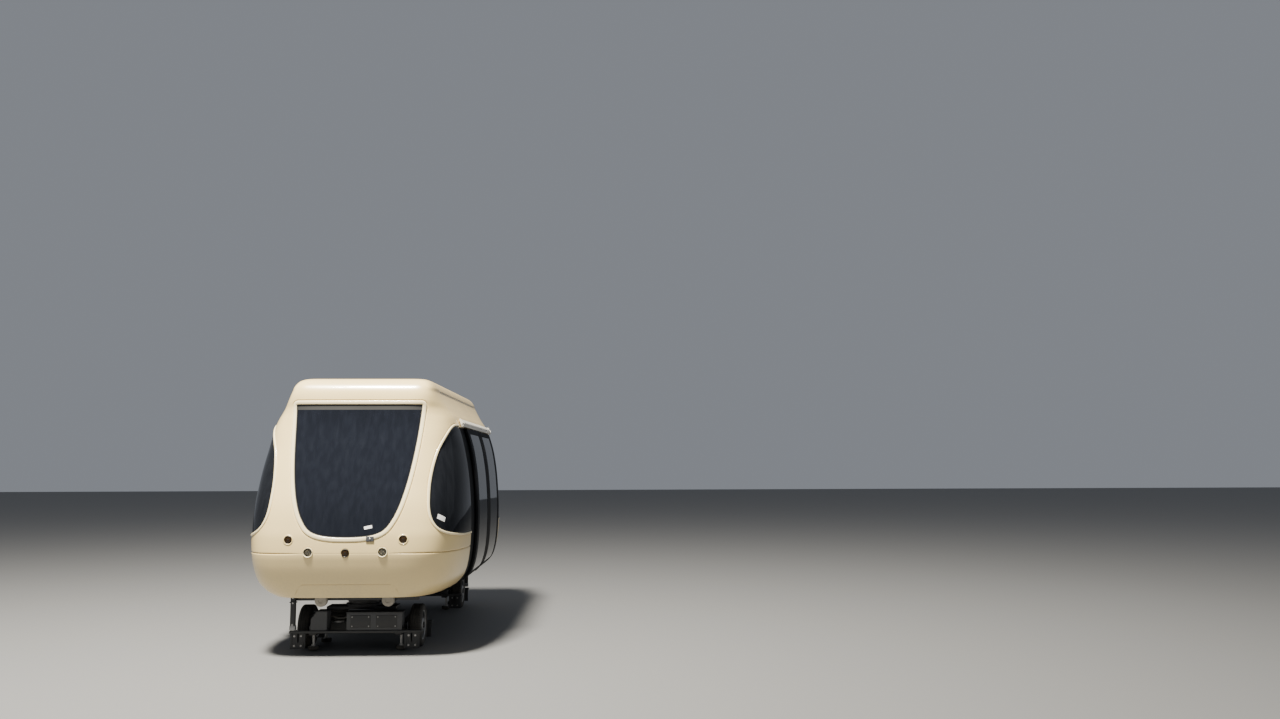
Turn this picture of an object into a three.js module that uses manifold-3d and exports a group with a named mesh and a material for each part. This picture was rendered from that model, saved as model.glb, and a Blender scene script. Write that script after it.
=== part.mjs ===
// Cable-drawn people mover: one double-ended car on two rubber-tyred bogies, hauled by a rope grip.
// Millimetres, +Z up, +Y along the track, origin on the ground under the middle of the car.
// The photographed end faces -Y. Left is -X and right is +X for someone who looks along +Y.
import * as THREE from "three";
import { mergeVertices } from "three/addons/utils/BufferGeometryUtils.js";
import Module from "manifold-3d";

const wasm = await Module();
wasm.setup();

// Driving dimensions of the body.
const bodyLength = 5800;
const halfLength = bodyLength / 2;
const bodyTop = 3340;
const wall = 60;
const seatGap = 0.3;
const planSteps = 32;
const seamZ = 1225;
const eaveZ = 2740;
const maskY = 1740;
const bodySections = [
  // z, halfWidth, noseSetback, planPower
  [700, 1030, 180, 6],
  [760, 1145, 145, 6],
  [900, 1255, 80, 6],
  [1100, 1303, 20, 6],
  [1225, 1316, 0, 6],
  [1400, 1325, 9, 6],
  [1560, 1328, 40, 6],
  [1750, 1323, 92, 6],
  [2060, 1303, 215, 6],
  [2420, 1252, 368, 6],
  [2740, 1160, 500, 7],
  [2850, 1114, 530, 7],
  [2950, 1040, 552, 8],
  [3060, 961, 566, 11],
  [3160, 900, 592, 15],
  [3240, 860, 640, 18],
  [3295, 818, 710, 18],
  [3325, 748, 825, 16],
];

// Windows.
const glassRecess = 4;
const glassThick = 12;
const screen = {
  // Right half of the outline as (x, z): a side and a chin, each with two handles and an end.
  top: [768, 2992],
  curves: [
    [752, 2790, 716, 1925, 520, 1602],
    [452, 1490, 410, 1409, 0, 1409],
  ],
  steps: 8,
  centre: [0, 2200],
};
const sideWindow = {
  // Outline as (u, z), where u runs back along a face turned about Z, open towards the door.
  turn: -40,
  reach: 500,
  top: [-700, 2740],
  curves: [
    [-900, 2737, -1020, 2640, -1160, 2480],
    [-1300, 2320, -1420, 2060, -1475, 1830],
    [-1510, 1690, -1505, 1560, -1400, 1500],
    [-1300, 1445, -1100, 1430, -810, 1417],
  ],
  bottomZ: 1412,
  steps: 4,
  centre: [-600, 2075],
  nearest: 1200,
};

// Doors, two sliding leaves on each side, hung from the eave rail.
const doorHalf = 1360;
const leaf = { bottomZ: 756, topZ: 2735, inner: -3, outer: 27, stile: 190, sill: 95, head: 70, meetGap: 6 };
const leafGlass = { inner: 12, outer: 24 };
const portal = { inset: 14, bottomZ: 700, sillTopZ: 800, headZ: 2660, openingHalf: 1290 };
const eaveRail = {
  halfLength: 1650,
  bottomZ: eaveZ + 5,
  faceTopZ: 2800,
  topZ: 2850,
  depth: 36,
  topDepth: 14,
  grooveInner: 8,
  mouthOuter: 20,
  grooveOuter: 31,
  lipZ: 2760,
  grooveTopZ: 2780,
};
const hanger = { length: 160, offsets: [90, 450], inner: 10, stemOuter: 18, headOuter: 29, play: 2 };

// Lamps on each nose: two upper markers, two headlamps and one centre lamp.
const lamps = [
  // x, z, radius
  [-665, 1385, 46],
  [665, 1385, 46],
  [-430, 1240, 60],
  [430, 1240, 60],
  [0, 1230, 46],
];
const lampProud = 6;
const lampDepth = 200;
const lampCarrier = { half: 700, thick: 30, frontY: halfLength - 70, bottomZ: 1205, topZ: 1415 };

// Roof fittings at each corner: a lifting pad, and a lug behind the front edge.
const liftingPad = { x: 660, y: 1600, half: 60, bottomZ: 3270, topZ: 3345 };
const lug = { x: 310, y: 1500, halfThick: 12, halfLength: 30, bottomZ: 3290, topZ: 3368 };

// Floor, seats and poles.
const floorTop = 800;
const floorBottom = 740;
const bench = {
  half: 900,
  frontY: 1800,
  backY: 2380,
  seatZ: 1240,
  seatThick: 90,
  backThick: 80,
  backTopZ: 1560,
  toeSpace: 60,
};
const pole = { x: 620, y: 1720, radius: 18, railZ: 2560, sides: 16 };

// Frame under the floor, and what hangs from it.
const longBeam = { x: 430, half: 60, halfLength: 2300, bottomZ: 610 };
const crossBeamHalf = 50;
const crossBeamBottomZ = 620;
const crossBeams = [
  // y, halfLength
  [-2250, 760],
  [-1130, 860],
  [0, 860],
  [1130, 860],
  [2250, 760],
];
const bolsterHalf = 150;
const buffer = { x: 402, y: 2350, z: 626, radius: 74, length: 60 };
const bufferStem = { y: 2270, z: 640, radius: 40, length: 160 };
const hangingArm = { x: 740, half: 30, y: 2325, halfDepth: 25, bottomZ: 275, topZ: 700 };
const grip = {
  slot: 30,
  slotTopZ: 104,
  jaws: [60, 170, 62, 200],
  web: [25, 110, 190, 600],
  base: [140, 220, 585, crossBeamBottomZ - seatGap],
  spring: { z: 160, radius: 34, length: 240 },
};

// Running gear.
const bogieY = 1850;
const pivot = { radius: 210, bottomZ: 500, topZ: 590 };
const wheel = { x: 680, radius: 260, width: 150, rimRadius: 175, hubBore: 40, sides: 28 };
const tyreShape = { beadInset: 12, wallDepth: 35, shoulder: 24 };
const rimShape = {
  hubRadius: 80,
  flange: 18,
  frontInset: 14,
  hubBackInset: 20,
  hubFrontInset: 6,
  web: [-10, 14],
};
const guide = { x: 530, offset: 300, radius: 65, bottomZ: 12, topZ: 62 };
const guidePin = { radius: 16, bottomZ: 10, topZ: 210, play: 0.6 };
const axleStub = { x: 635, length: 230 };
const bogieSpring = { x: 300, radius: 115, bottomZ: 310, topZ: 490 };
const bogieBoxes = [
  // x0, x1, y0, y1, z0, z1
  [-540, 540, -70, 70, 190, 330],
  [-430, 430, -130, 130, 470, 510],
  [-110, 560, -440, -250, 255, 480],
];
const bogieCornerBoxes = [
  // x, halfWidth, y, halfDepth, z0, z1, each at all four corners
  [685, 92, 440, 10, 45, 240],
  [680, 12, 420, 30, 120, 240],
];
const bogieSideBeam = { x: 515, half: 45, halfLength: 420, bottomZ: 200, topZ: 320 };
const bogieEndBar = { half: 790, y: 420, halfDepth: 40, bottomZ: 230, topZ: 260 };
const tiltedBox = {
  y0: -440,
  y1: -250,
  outline: [
    [-540, 255],
    [-340, 255],
    [-340, 490],
    [-470, 490],
    [-540, 400],
  ],
};

const paint = (color, roughness, metalness = 0, extra = {}) =>
  new THREE.MeshStandardMaterial({ color, roughness, metalness, ...extra });
const materials = {
  bodyPaint: paint(0xe6d6b8, 0.35),
  lightTrim: paint(0xd9d2c0, 0.4),
  darkFrame: paint(0x1c1d20, 0.45),
  glass: paint(0x14181b, 0.06, 0, { transparent: true, opacity: 0.55 }),
  chassis: paint(0x24272a, 0.6, 0.4),
  equipment: paint(0x74787a, 0.55, 0.3),
  rubber: paint(0x161616, 0.85),
  rimMetal: paint(0x8d9194, 0.4, 0.8),
  lens: paint(0x3b4046, 0.1),
  floorCover: paint(0x3c3f42, 0.8),
  seat: paint(0x39506b, 0.6),
  steel: paint(0xc4c8ca, 0.25, 0.9),
};

// Solids: closed three.js geometry in and out of manifold-3d.
function solid(geometry) {
  const bare = geometry.clone();
  bare.deleteAttribute("normal");
  bare.deleteAttribute("uv");
  const merged = mergeVertices(bare, 1e-3);
  return new wasm.Manifold(
    new wasm.Mesh({
      numProp: 3,
      vertProperties: new Float32Array(merged.attributes.position.array),
      triVerts: new Uint32Array(merged.index.array),
    }),
  );
}

const join = (first, ...rest) => rest.reduce((sum, item) => sum.add(item), first);
const cut = (first, ...rest) => rest.reduce((left, item) => left.subtract(item), first);

function geometryOf(body) {
  const mesh = body.getMesh();
  const geometry = new THREE.BufferGeometry();
  const positions = new Float32Array(mesh.numVert * 3);
  for (let i = 0; i < mesh.numVert; i++) {
    const start = i * mesh.numProp;
    positions.set(mesh.vertProperties.subarray(start, start + 3), i * 3);
  }
  geometry.setAttribute("position", new THREE.BufferAttribute(positions, 3));
  geometry.setIndex(new THREE.BufferAttribute(new Uint32Array(mesh.triVerts), 1));
  geometry.computeVertexNormals();
  return geometry;
}

function piece(name, body, material) {
  const mesh = new THREE.Mesh(geometryOf(body), material);
  mesh.name = name;
  return mesh;
}

function box(x0, x1, y0, y1, z0, z1) {
  const geometry = new THREE.BoxGeometry(x1 - x0, y1 - y0, z1 - z0);
  geometry.translate((x0 + x1) / 2, (y0 + y1) / 2, (z0 + z1) / 2);
  return solid(geometry);
}

// A box about a point in plan, between the bottomZ and topZ of a table.
const block = (x, halfX, y, halfY, { bottomZ, topZ }) =>
  box(x - halfX, x + halfX, y - halfY, y + halfY, bottomZ, topZ);

const spin = {
  x: (geometry) => geometry.rotateZ(-Math.PI / 2),
  y: (geometry) => geometry,
  z: (geometry) => geometry.rotateX(Math.PI / 2),
};

// A round bar along an axis, from its middle point.
function bar(axis, centre, radius, length, sides = 20) {
  const geometry = spin[axis](new THREE.CylinderGeometry(radius, radius, length, sides));
  geometry.translate(...centre);
  return solid(geometry);
}

// An upright round bar between two heights.
const post = (x, y, z0, z1, radius, sides) => bar("z", [x, y, (z0 + z1) / 2], radius, z1 - z0, sides);

// An outline in (y, z) carried along X, or in (x, z) carried along Y.
function prismX(outline, x0, x1) {
  const shape = new THREE.Shape(outline.map(([u, v]) => new THREE.Vector2(u, v)));
  const geometry = new THREE.ExtrudeGeometry(shape, { depth: x1 - x0, bevelEnabled: false });
  const turn = new THREE.Matrix4().makeBasis(
    new THREE.Vector3(0, 1, 0),
    new THREE.Vector3(0, 0, 1),
    new THREE.Vector3(1, 0, 0),
  );
  return solid(geometry.applyMatrix4(turn).translate(x0, 0, 0));
}

function prismY(outline, y0, y1) {
  const shape = new THREE.Shape(outline.map(([u, v]) => new THREE.Vector2(u, v)));
  const geometry = new THREE.ExtrudeGeometry(shape, { depth: y1 - y0, bevelEnabled: false });
  const turn = new THREE.Matrix4().makeBasis(
    new THREE.Vector3(1, 0, 0),
    new THREE.Vector3(0, 0, 1),
    new THREE.Vector3(0, -1, 0),
  );
  return solid(geometry.applyMatrix4(turn).translate(0, y1, 0));
}

// A turned profile of (radius, height) points, closed on itself, about a horizontal X axis.
function turnedX(profile, centre, sides = 40) {
  const points = [...profile, profile[0]].map(([r, h]) => new THREE.Vector2(r, h));
  const geometry = new THREE.LatheGeometry(points, sides).rotateZ(-Math.PI / 2);
  geometry.translate(...centre);
  const made = solid(geometry);
  return made.volume() < 0 ? solid(flipped(geometry)) : made;
}

function flipped(geometry) {
  const index = geometry.index.array;
  for (let i = 0; i < index.length; i += 3) [index[i + 1], index[i + 2]] = [index[i + 2], index[i + 1]];
  return geometry;
}

const mirroredX = (body) => body.mirror([1, 0, 0]);
const mirroredY = (body) => body.mirror([0, 1, 0]);
const turned = (body) => body.rotate([0, 0, 180]);

// The outer form of the body: a superellipse in plan at each height, moved inwards by inset.
function insetSections(inset) {
  return bodySections.map(([z, halfWidth, setback, power], i) => {
    const [z0, w0, s0] = bodySections[Math.max(i - 1, 0)];
    const [z1, w1, s1] = bodySections[i + 1] ?? [bodyTop, 0, halfLength];
    const side = new THREE.Vector2(z1 - z0, w0 - w1).normalize();
    const nose = new THREE.Vector2(z1 - z0, s1 - s0).normalize();
    const rise = Math.max((side.y + nose.y) / 2, 0);
    const under = side.y < 0;
    const halfW = halfWidth - inset * (under ? 1 : side.x);
    const halfL = halfLength - setback - inset * (under ? 1 : nose.x);
    return [z - inset * rise, halfW, halfL, power];
  });
}

function bodyLoft(inset, bottomZ = bodySections[0][0]) {
  const rings = insetSections(inset);
  if (bottomZ < bodySections[0][0]) rings.unshift([bottomZ, ...rings[0].slice(1)]);
  const positions = [];
  const index = [];
  for (const [z, halfW, halfL, power] of rings)
    for (let i = 0; i < planSteps; i++) {
      const angle = (i / planSteps) * 2 * Math.PI;
      const c = Math.cos(angle);
      const s = Math.sin(angle);
      const x = halfW * Math.sign(c) * Math.abs(c) ** (2 / power);
      const y = halfL * Math.sign(s) * Math.abs(s) ** (2 / power);
      positions.push(x, y, z);
    }
  const bottom = positions.length / 3;
  positions.push(0, 0, rings[0][0], 0, 0, bodyTop - inset);
  for (let r = 0; r + 1 < rings.length; r++)
    for (let i = 0; i < planSteps; i++) {
      const next = (i + 1) % planSteps;
      const a = r * planSteps + i;
      const b = r * planSteps + next;
      index.push(a, b, b + planSteps, a, b + planSteps, a + planSteps);
    }
  const last = (rings.length - 1) * planSteps;
  for (let i = 0; i < planSteps; i++) {
    const next = (i + 1) % planSteps;
    index.push(bottom, next, i, bottom + 1, last + i, last + next);
  }
  const geometry = new THREE.BufferGeometry();
  geometry.setAttribute("position", new THREE.Float32BufferAttribute(positions, 3));
  geometry.setIndex(index);
  return solid(geometry);
}

const far = 4000;
const outside = bodyLoft(0);
const inside = bodyLoft(wall, 600);
const lining = bodyLoft(wall + seatGap, 600);
const shell = cut(outside, inside);
const glassBand = cut(bodyLoft(glassRecess), bodyLoft(glassRecess + glassThick));

// Half-width of the straight side at a height.
function sideAt(z) {
  const above = bodySections.findIndex(([level]) => level >= z);
  const [z1, w1] = bodySections[above];
  const [z0, w0] = bodySections[Math.max(above - 1, 0)];
  return z1 === z0 ? w1 : w0 + ((w1 - w0) * (z - z0)) / (z1 - z0);
}

// A strip that follows the side between two heights, as an outline in (x, z).
function sideStrip(inner, outer, z0, z1) {
  const between = bodySections.map(([z]) => z).filter((z) => z > z0 + 1 && z < z1 - 1);
  const levels = [z0, ...between, z1];
  const out = levels.map((z) => [sideAt(z) + outer, z]);
  const back = levels.map((z) => [sideAt(z) + inner, z]).reverse();
  return [...out, ...back];
}

// Points moved towards a centre, so that a pane clears its hole by about the margin.
function shrunk(points, centre, margin) {
  return points.map((p) => {
    const inward = new THREE.Vector2(...centre).sub(p).normalize().multiplyScalar(margin * 1.5);
    return [p.x + inward.x, p.y + inward.y];
  });
}

// Windscreen outline in (x, z): slightly bowed sides above a deep rounded chin.
function screenOutline(margin) {
  const shape = new THREE.Shape();
  shape.moveTo(...screen.top);
  for (const curve of screen.curves) shape.bezierCurveTo(...curve);
  const right = shrunk(shape.getPoints(screen.steps), screen.centre, margin);
  const left = right.slice(0, -1).map(([x, z]) => [-x, z]);
  return [...right, ...left.reverse()];
}

// D-shaped corner window in (u, z).
function sideWindowOutline(margin) {
  const shape = new THREE.Shape();
  shape.moveTo(sideWindow.reach, sideWindow.top[1]);
  shape.lineTo(...sideWindow.top);
  for (const curve of sideWindow.curves) shape.bezierCurveTo(...curve);
  shape.lineTo(sideWindow.reach, sideWindow.bottomZ);
  return shrunk(shape.getPoints(sideWindow.steps), sideWindow.centre, margin);
}

// The corner window's prism on the +X side of the -Y end, square to the turned face.
function sideWindowPrism(margin) {
  const prism = prismX(sideWindowOutline(margin), sideWindow.nearest, far);
  return prism.rotate([0, 0, sideWindow.turn]);
}

const screenCut = prismY(screenOutline(0), -far, 0);
const screenGlass = glassBand.intersect(prismY(screenOutline(seatGap), -far, 0));
const sideCut = sideWindowPrism(0);
const behindMask = box(-far, far, -maskY - seatGap, far, 0, far);
const panePrism = cut(sideWindowPrism(seatGap), behindMask);
const lampHoles = lamps.map(([x, z, radius]) => bar("y", [x, -halfLength, z], radius + seatGap, 800));

// Shell pieces of one end, and the copies for the other end.
const maskShell = cut(
  shell.intersect(box(-far, far, -far, -maskY, seamZ + seatGap, far)),
  screenCut,
  sideCut,
  mirroredX(sideCut),
  ...lampHoles,
);
const bumperShell = cut(shell.intersect(box(-far, far, -far, -maskY, 0, seamZ)), ...lampHoles);
const sideGlass = {
  left: glassBand.intersect(mirroredX(panePrism)),
  right: glassBand.intersect(panePrism),
};

function lampBar() {
  const grown = bodyLoft(-lampProud);
  const { half, thick, frontY, bottomZ, topZ } = lampCarrier;
  const carrier = box(-half, half, -frontY, -frontY + thick, bottomZ, topZ).intersect(lining);
  const bodies = lamps.map(([x, z, radius]) =>
    bar("y", [x, -frontY + thick - lampDepth / 2, z], radius, lampDepth).intersect(grown),
  );
  return join(carrier, ...bodies);
}

// Roof with its lifting pads and the two lugs behind each front edge.
function roof() {
  const cap = shell.intersect(box(-far, far, -maskY + seatGap, maskY - seatGap, eaveZ + seatGap, far));
  const fittings = [];
  for (const y of [-1, 1])
    for (const x of [-1, 1]) {
      fittings.push(block(x * liftingPad.x, liftingPad.half, y * liftingPad.y, liftingPad.half, liftingPad));
      fittings.push(block(x * lug.x, lug.halfThick, y * lug.y, lug.halfLength, lug));
    }
  return join(cap, ...fittings.map((item) => cut(item, bodyLoft(wall / 2))));
}

// Door surround: two pillars, header and sill in one ring, on the +X side.
function doorPortal() {
  const band = cut(bodyLoft(portal.inset), inside);
  const side = box(0, far, -maskY + seatGap, maskY - seatGap, portal.bottomZ, eaveZ);
  const opening = box(0, far, -portal.openingHalf, portal.openingHalf, portal.sillTopZ, portal.headZ);
  return cut(band.intersect(side), opening);
}

// Eave rail on the +X side: it hides the door track and holds the leaves' hangers on its lip.
function eaveRailBody() {
  const low = sideAt(eaveRail.bottomZ);
  const high = sideAt(eaveRail.topZ);
  const outline = [
    [low + seatGap, eaveRail.bottomZ],
    [low + eaveRail.depth, eaveRail.bottomZ],
    [low + eaveRail.depth, eaveRail.faceTopZ],
    [high + eaveRail.topDepth, eaveRail.topZ],
    [high + seatGap, eaveRail.topZ],
  ];
  const groove = [
    [low + eaveRail.grooveInner, eaveZ],
    [low + eaveRail.mouthOuter, eaveZ],
    [low + eaveRail.mouthOuter, eaveRail.lipZ],
    [low + eaveRail.grooveOuter, eaveRail.lipZ],
    [low + eaveRail.grooveOuter, eaveRail.grooveTopZ],
    [low + eaveRail.grooveInner, eaveRail.grooveTopZ],
  ];
  return cut(
    prismY(outline, -eaveRail.halfLength, eaveRail.halfLength),
    prismY(groove, -far, far),
  );
}

// One door leaf on the +X side, closed, from the middle to +Y.
function doorLeaf() {
  const y0 = leaf.meetGap / 2;
  const y1 = doorHalf;
  const body = prismY(sideStrip(leaf.inner, leaf.outer, leaf.bottomZ, leaf.topZ), y0, y1);
  const [sillZ, headZ] = [leaf.bottomZ + leaf.sill, leaf.topZ - leaf.head];
  const glassHole = box(0, far, y0 + leaf.stile, y1 - leaf.stile, sillZ, headZ);
  const low = sideAt(eaveRail.bottomZ);
  const [stemLowZ, headLowZ] = [leaf.topZ - 20, eaveRail.lipZ + seatGap];
  const headTopZ = eaveRail.grooveTopZ - hanger.play;
  const hooks = hanger.offsets.flatMap((offset) => {
    const start = y0 + offset;
    const end = start + hanger.length;
    return [
      box(low + hanger.inner, low + hanger.stemOuter, start, end, stemLowZ, headTopZ),
      box(low + hanger.inner, low + hanger.headOuter, start, end, headLowZ, headTopZ),
    ];
  });
  return join(cut(body, glassHole), ...hooks);
}

function doorGlass() {
  const z0 = leaf.bottomZ + leaf.sill + seatGap;
  const z1 = leaf.topZ - leaf.head - seatGap;
  const y0 = leaf.meetGap / 2 + leaf.stile + seatGap;
  const y1 = doorHalf - leaf.stile - seatGap;
  return prismY(sideStrip(leafGlass.inner, leafGlass.outer, z0, z1), y0, y1);
}

// Floor slab inside the walls, with the frame below it and the fixed parts that hang from it.
const floorSlab = lining.intersect(box(-far, far, -far, far, floorBottom, floorTop));

function underframe() {
  const top = floorBottom - seatGap;
  const under = (bottomZ) => ({ bottomZ, topZ: top });
  const parts = [];
  for (const x of [-1, 1])
    parts.push(block(x * longBeam.x, longBeam.half, 0, longBeam.halfLength, under(longBeam.bottomZ)));
  for (const [y, half] of crossBeams) parts.push(block(0, half, y, crossBeamHalf, under(crossBeamBottomZ)));
  for (const y of [-1, 1]) {
    parts.push(block(0, longBeam.x, y * bogieY, bolsterHalf, under(crossBeamBottomZ)));
    parts.push(post(0, y * bogieY, pivot.topZ + seatGap, top, pivot.radius));
    for (const x of [-1, 1]) {
      parts.push(bar("y", [x * buffer.x, y * buffer.y, buffer.z], buffer.radius, buffer.length));
      const stemCentre = [x * buffer.x, y * bufferStem.y, bufferStem.z];
      parts.push(bar("y", stemCentre, bufferStem.radius, bufferStem.length, 24));
    }
    // One arm at each end, at opposite corners, so that the frame is the same turned end for end.
    parts.push(block(y * hangingArm.x, hangingArm.half, y * hangingArm.y, hangingArm.halfDepth, hangingArm));
  }
  return join(...parts);
}

function ropeGrip() {
  const slab = ([half, halfLength, bottomZ, topZ]) => block(0, half, 0, halfLength, { bottomZ, topZ });
  const slot = box(-grip.slot / 2, grip.slot / 2, -far, far, 0, grip.slotTopZ);
  const spring = bar("x", [0, 0, grip.spring.z], grip.spring.radius, grip.spring.length, 24);
  return join(slab(grip.base), slab(grip.web), cut(slab(grip.jaws), slot), spring);
}

function benchBody() {
  const { half, frontY, backY, seatZ, toeSpace } = bench;
  const lowZ = seatZ - bench.seatThick;
  const seat = box(-half, half, -backY, -frontY, lowZ, seatZ);
  const plinth = box(-half + toeSpace, half - toeSpace, -backY, -frontY - toeSpace, floorTop + seatGap, seatZ);
  const back = box(-half, half, -backY - bench.backThick, -backY, lowZ, bench.backTopZ);
  return join(seat, plinth, back);
}

// Handrail on the +X side: two poles from floor to ceiling with a rail between them.
function grabRail() {
  const poles = [-1, 1].map((y) =>
    post(pole.x, y * pole.y, floorTop + seatGap, bodyTop, pole.radius, pole.sides),
  );
  const rail = bar("y", [pole.x, 0, pole.railZ], pole.radius, 2 * pole.y, pole.sides);
  return join(...poles, rail).intersect(lining);
}

// Bogie frame about its own pivot point, for the -Y end.
function bogieFrame() {
  const parts = bogieBoxes.map((limits) => box(...limits));
  for (const x of [-1, 1]) {
    parts.push(bar("x", [x * axleStub.x, 0, wheel.radius], wheel.hubBore - seatGap, axleStub.length));
    parts.push(block(x * bogieSideBeam.x, bogieSideBeam.half, 0, bogieSideBeam.halfLength, bogieSideBeam));
    parts.push(post(x * bogieSpring.x, 0, bogieSpring.bottomZ, bogieSpring.topZ, bogieSpring.radius, 24));
    for (const y of [-1, 1]) {
      parts.push(post(x * guide.x, y * guide.offset, guidePin.bottomZ, guidePin.topZ, guidePin.radius, 12));
      for (const [atX, halfWidth, atY, halfDepth, bottomZ, topZ] of bogieCornerBoxes)
        parts.push(block(x * atX, halfWidth, y * atY, halfDepth, { bottomZ, topZ }));
    }
  }
  for (const y of [-1, 1])
    parts.push(block(0, bogieEndBar.half, y * bogieEndBar.y, bogieEndBar.halfDepth, bogieEndBar));
  parts.push(prismY(tiltedBox.outline, tiltedBox.y0, tiltedBox.y1));
  parts.push(post(0, 0, pivot.bottomZ, pivot.topZ - seatGap, pivot.radius));
  return join(...parts);
}

// Tyre and rim about the wheel's own centre, axle along X.
function tyre() {
  const half = wheel.width / 2;
  const { radius, rimRadius } = wheel;
  const { beadInset, wallDepth, shoulder } = tyreShape;
  const profile = [
    [rimRadius, -half + beadInset],
    [radius - wallDepth, -half],
    [radius, -half + shoulder],
    [radius, half - shoulder],
    [radius - wallDepth, half],
    [rimRadius, half - beadInset],
  ];
  return turnedX(profile, [0, 0, 0], wheel.sides);
}

function rim() {
  const half = wheel.width / 2;
  const outer = wheel.rimRadius - seatGap;
  const bore = wheel.hubBore + seatGap;
  const { hubRadius, flange, frontInset, hubBackInset, hubFrontInset, web } = rimShape;
  const profile = [
    [bore, -half + hubBackInset],
    [hubRadius, -half + hubBackInset],
    [hubRadius, web[0]],
    [outer - flange, web[0]],
    [outer - flange, -half + frontInset],
    [outer, -half + frontInset],
    [outer, half - frontInset],
    [outer - flange, half - frontInset],
    [outer - flange, web[1]],
    [hubRadius, web[1]],
    [hubRadius, half - hubFrontInset],
    [bore, half - hubFrontInset],
  ];
  return turnedX(profile, [0, 0, 0], wheel.sides);
}

function guideWheel() {
  const disc = post(0, 0, guide.bottomZ, guide.topZ, guide.radius, 20);
  return cut(disc, post(0, 0, guidePin.bottomZ - 1, guidePin.topZ, guidePin.radius + guidePin.play, 12));
}

// The car, assembled.
const car = new THREE.Group();
const ends = [
  // name, sign along Y
  ["front", -1],
  ["rear", 1],
];
const sides = [
  // name, sign along X
  ["left", -1],
  ["right", 1],
];
const leafBody = doorLeaf();
const leafPane = doorGlass();
const portalBody = doorPortal();
const railBody = eaveRailBody();
const poleBody = grabRail();
const lampBody = lampBar();
const seatBody = benchBody();
const bogieBody = bogieFrame();
const facing = (body, sign) => (sign < 0 ? body : turned(body));
const inCorner = (body, xSign, ySign) => {
  const along = ySign > 0 ? body : mirroredY(body);
  return xSign > 0 ? along : mirroredX(along);
};

car.add(piece("roof", roof(), materials.bodyPaint));
car.add(piece("floor", floorSlab, materials.floorCover));
car.add(piece("underframe", underframe(), materials.chassis));
car.add(piece("rope_grip", ropeGrip(), materials.equipment));

for (const [end, endSign] of ends) {
  car.add(piece(`nose_mask_${end}`, facing(maskShell, endSign), materials.bodyPaint));
  car.add(piece(`bumper_${end}`, facing(bumperShell, endSign), materials.bodyPaint));
  car.add(piece(`windscreen_${end}`, facing(screenGlass, endSign), materials.glass));
  car.add(piece(`lamp_bar_${end}`, facing(lampBody, endSign), materials.lens));
  car.add(piece(`bench_${end}`, facing(seatBody, endSign), materials.seat));

  // A bogie is the same frame turned round, so its equipment boxes face its own end.
  const bogie = new THREE.Group();
  bogie.position.set(0, endSign * bogieY, 0);
  bogie.rotation.z = endSign < 0 ? 0 : Math.PI;
  bogie.add(piece(`bogie_frame_${end}`, bogieBody, materials.chassis));
  car.add(bogie);

  for (const [side, sideSign] of sides) {
    const cornerPane = sideSign * endSign < 0 ? sideGlass.right : sideGlass.left;
    car.add(piece(`side_window_${end}_${side}`, facing(cornerPane, endSign), materials.glass));

    const frame = inCorner(leafBody, sideSign, endSign);
    const glazing = inCorner(leafPane, sideSign, endSign);
    car.add(piece(`door_leaf_${end}_${side}`, frame, materials.darkFrame));
    car.add(piece(`door_glass_${end}_${side}`, glazing, materials.glass));

    const axle = new THREE.Group();
    axle.position.set(sideSign * wheel.x, endSign * bogieY, wheel.radius);
    axle.rotation.z = sideSign > 0 ? 0 : Math.PI;
    axle.add(piece(`tyre_${end}_${side}`, tyre(), materials.rubber));
    axle.add(piece(`rim_${end}_${side}`, rim(), materials.rimMetal));
    car.add(axle);

    for (const [place, along] of [["outer", 1], ["inner", -1]]) {
      const roller = piece(`guide_wheel_${end}_${side}_${place}`, guideWheel(), materials.rubber);
      roller.position.set(sideSign * guide.x, endSign * (bogieY + along * guide.offset), 0);
      car.add(roller);
    }
  }
}

for (const [side, sign] of sides) {
  const placed = (body) => (sign > 0 ? body : turned(body));
  car.add(piece(`door_portal_${side}`, placed(portalBody), materials.darkFrame));
  car.add(piece(`eave_rail_${side}`, placed(railBody), materials.lightTrim));
  car.add(piece(`grab_rail_${side}`, placed(poleBody), materials.steel));
}

export default car;
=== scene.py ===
import math

import bpy
import numpy as np
from mathutils import Matrix, Vector
from mathutils.geometry import tessellate_polygon


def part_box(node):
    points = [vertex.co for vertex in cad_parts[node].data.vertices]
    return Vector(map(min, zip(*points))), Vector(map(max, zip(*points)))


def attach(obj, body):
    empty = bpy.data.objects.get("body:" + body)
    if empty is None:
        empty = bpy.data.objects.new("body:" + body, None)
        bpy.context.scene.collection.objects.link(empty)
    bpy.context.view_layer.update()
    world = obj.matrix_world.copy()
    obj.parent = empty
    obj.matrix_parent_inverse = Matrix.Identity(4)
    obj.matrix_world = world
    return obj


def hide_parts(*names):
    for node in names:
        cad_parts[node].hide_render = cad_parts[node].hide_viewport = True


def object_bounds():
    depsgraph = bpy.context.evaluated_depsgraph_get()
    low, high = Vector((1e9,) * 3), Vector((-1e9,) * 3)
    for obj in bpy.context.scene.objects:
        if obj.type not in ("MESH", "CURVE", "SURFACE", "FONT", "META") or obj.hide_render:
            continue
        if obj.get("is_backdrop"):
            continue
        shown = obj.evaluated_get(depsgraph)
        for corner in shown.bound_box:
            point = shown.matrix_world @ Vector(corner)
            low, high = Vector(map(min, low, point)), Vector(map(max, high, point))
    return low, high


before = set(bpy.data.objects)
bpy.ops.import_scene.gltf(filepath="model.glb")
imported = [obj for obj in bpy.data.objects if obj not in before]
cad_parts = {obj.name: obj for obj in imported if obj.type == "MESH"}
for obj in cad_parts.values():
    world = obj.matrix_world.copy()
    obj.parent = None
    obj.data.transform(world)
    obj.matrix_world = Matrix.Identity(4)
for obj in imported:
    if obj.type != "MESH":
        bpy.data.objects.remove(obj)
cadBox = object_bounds()
print("frame loaded:", len(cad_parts), "nodes")

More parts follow.
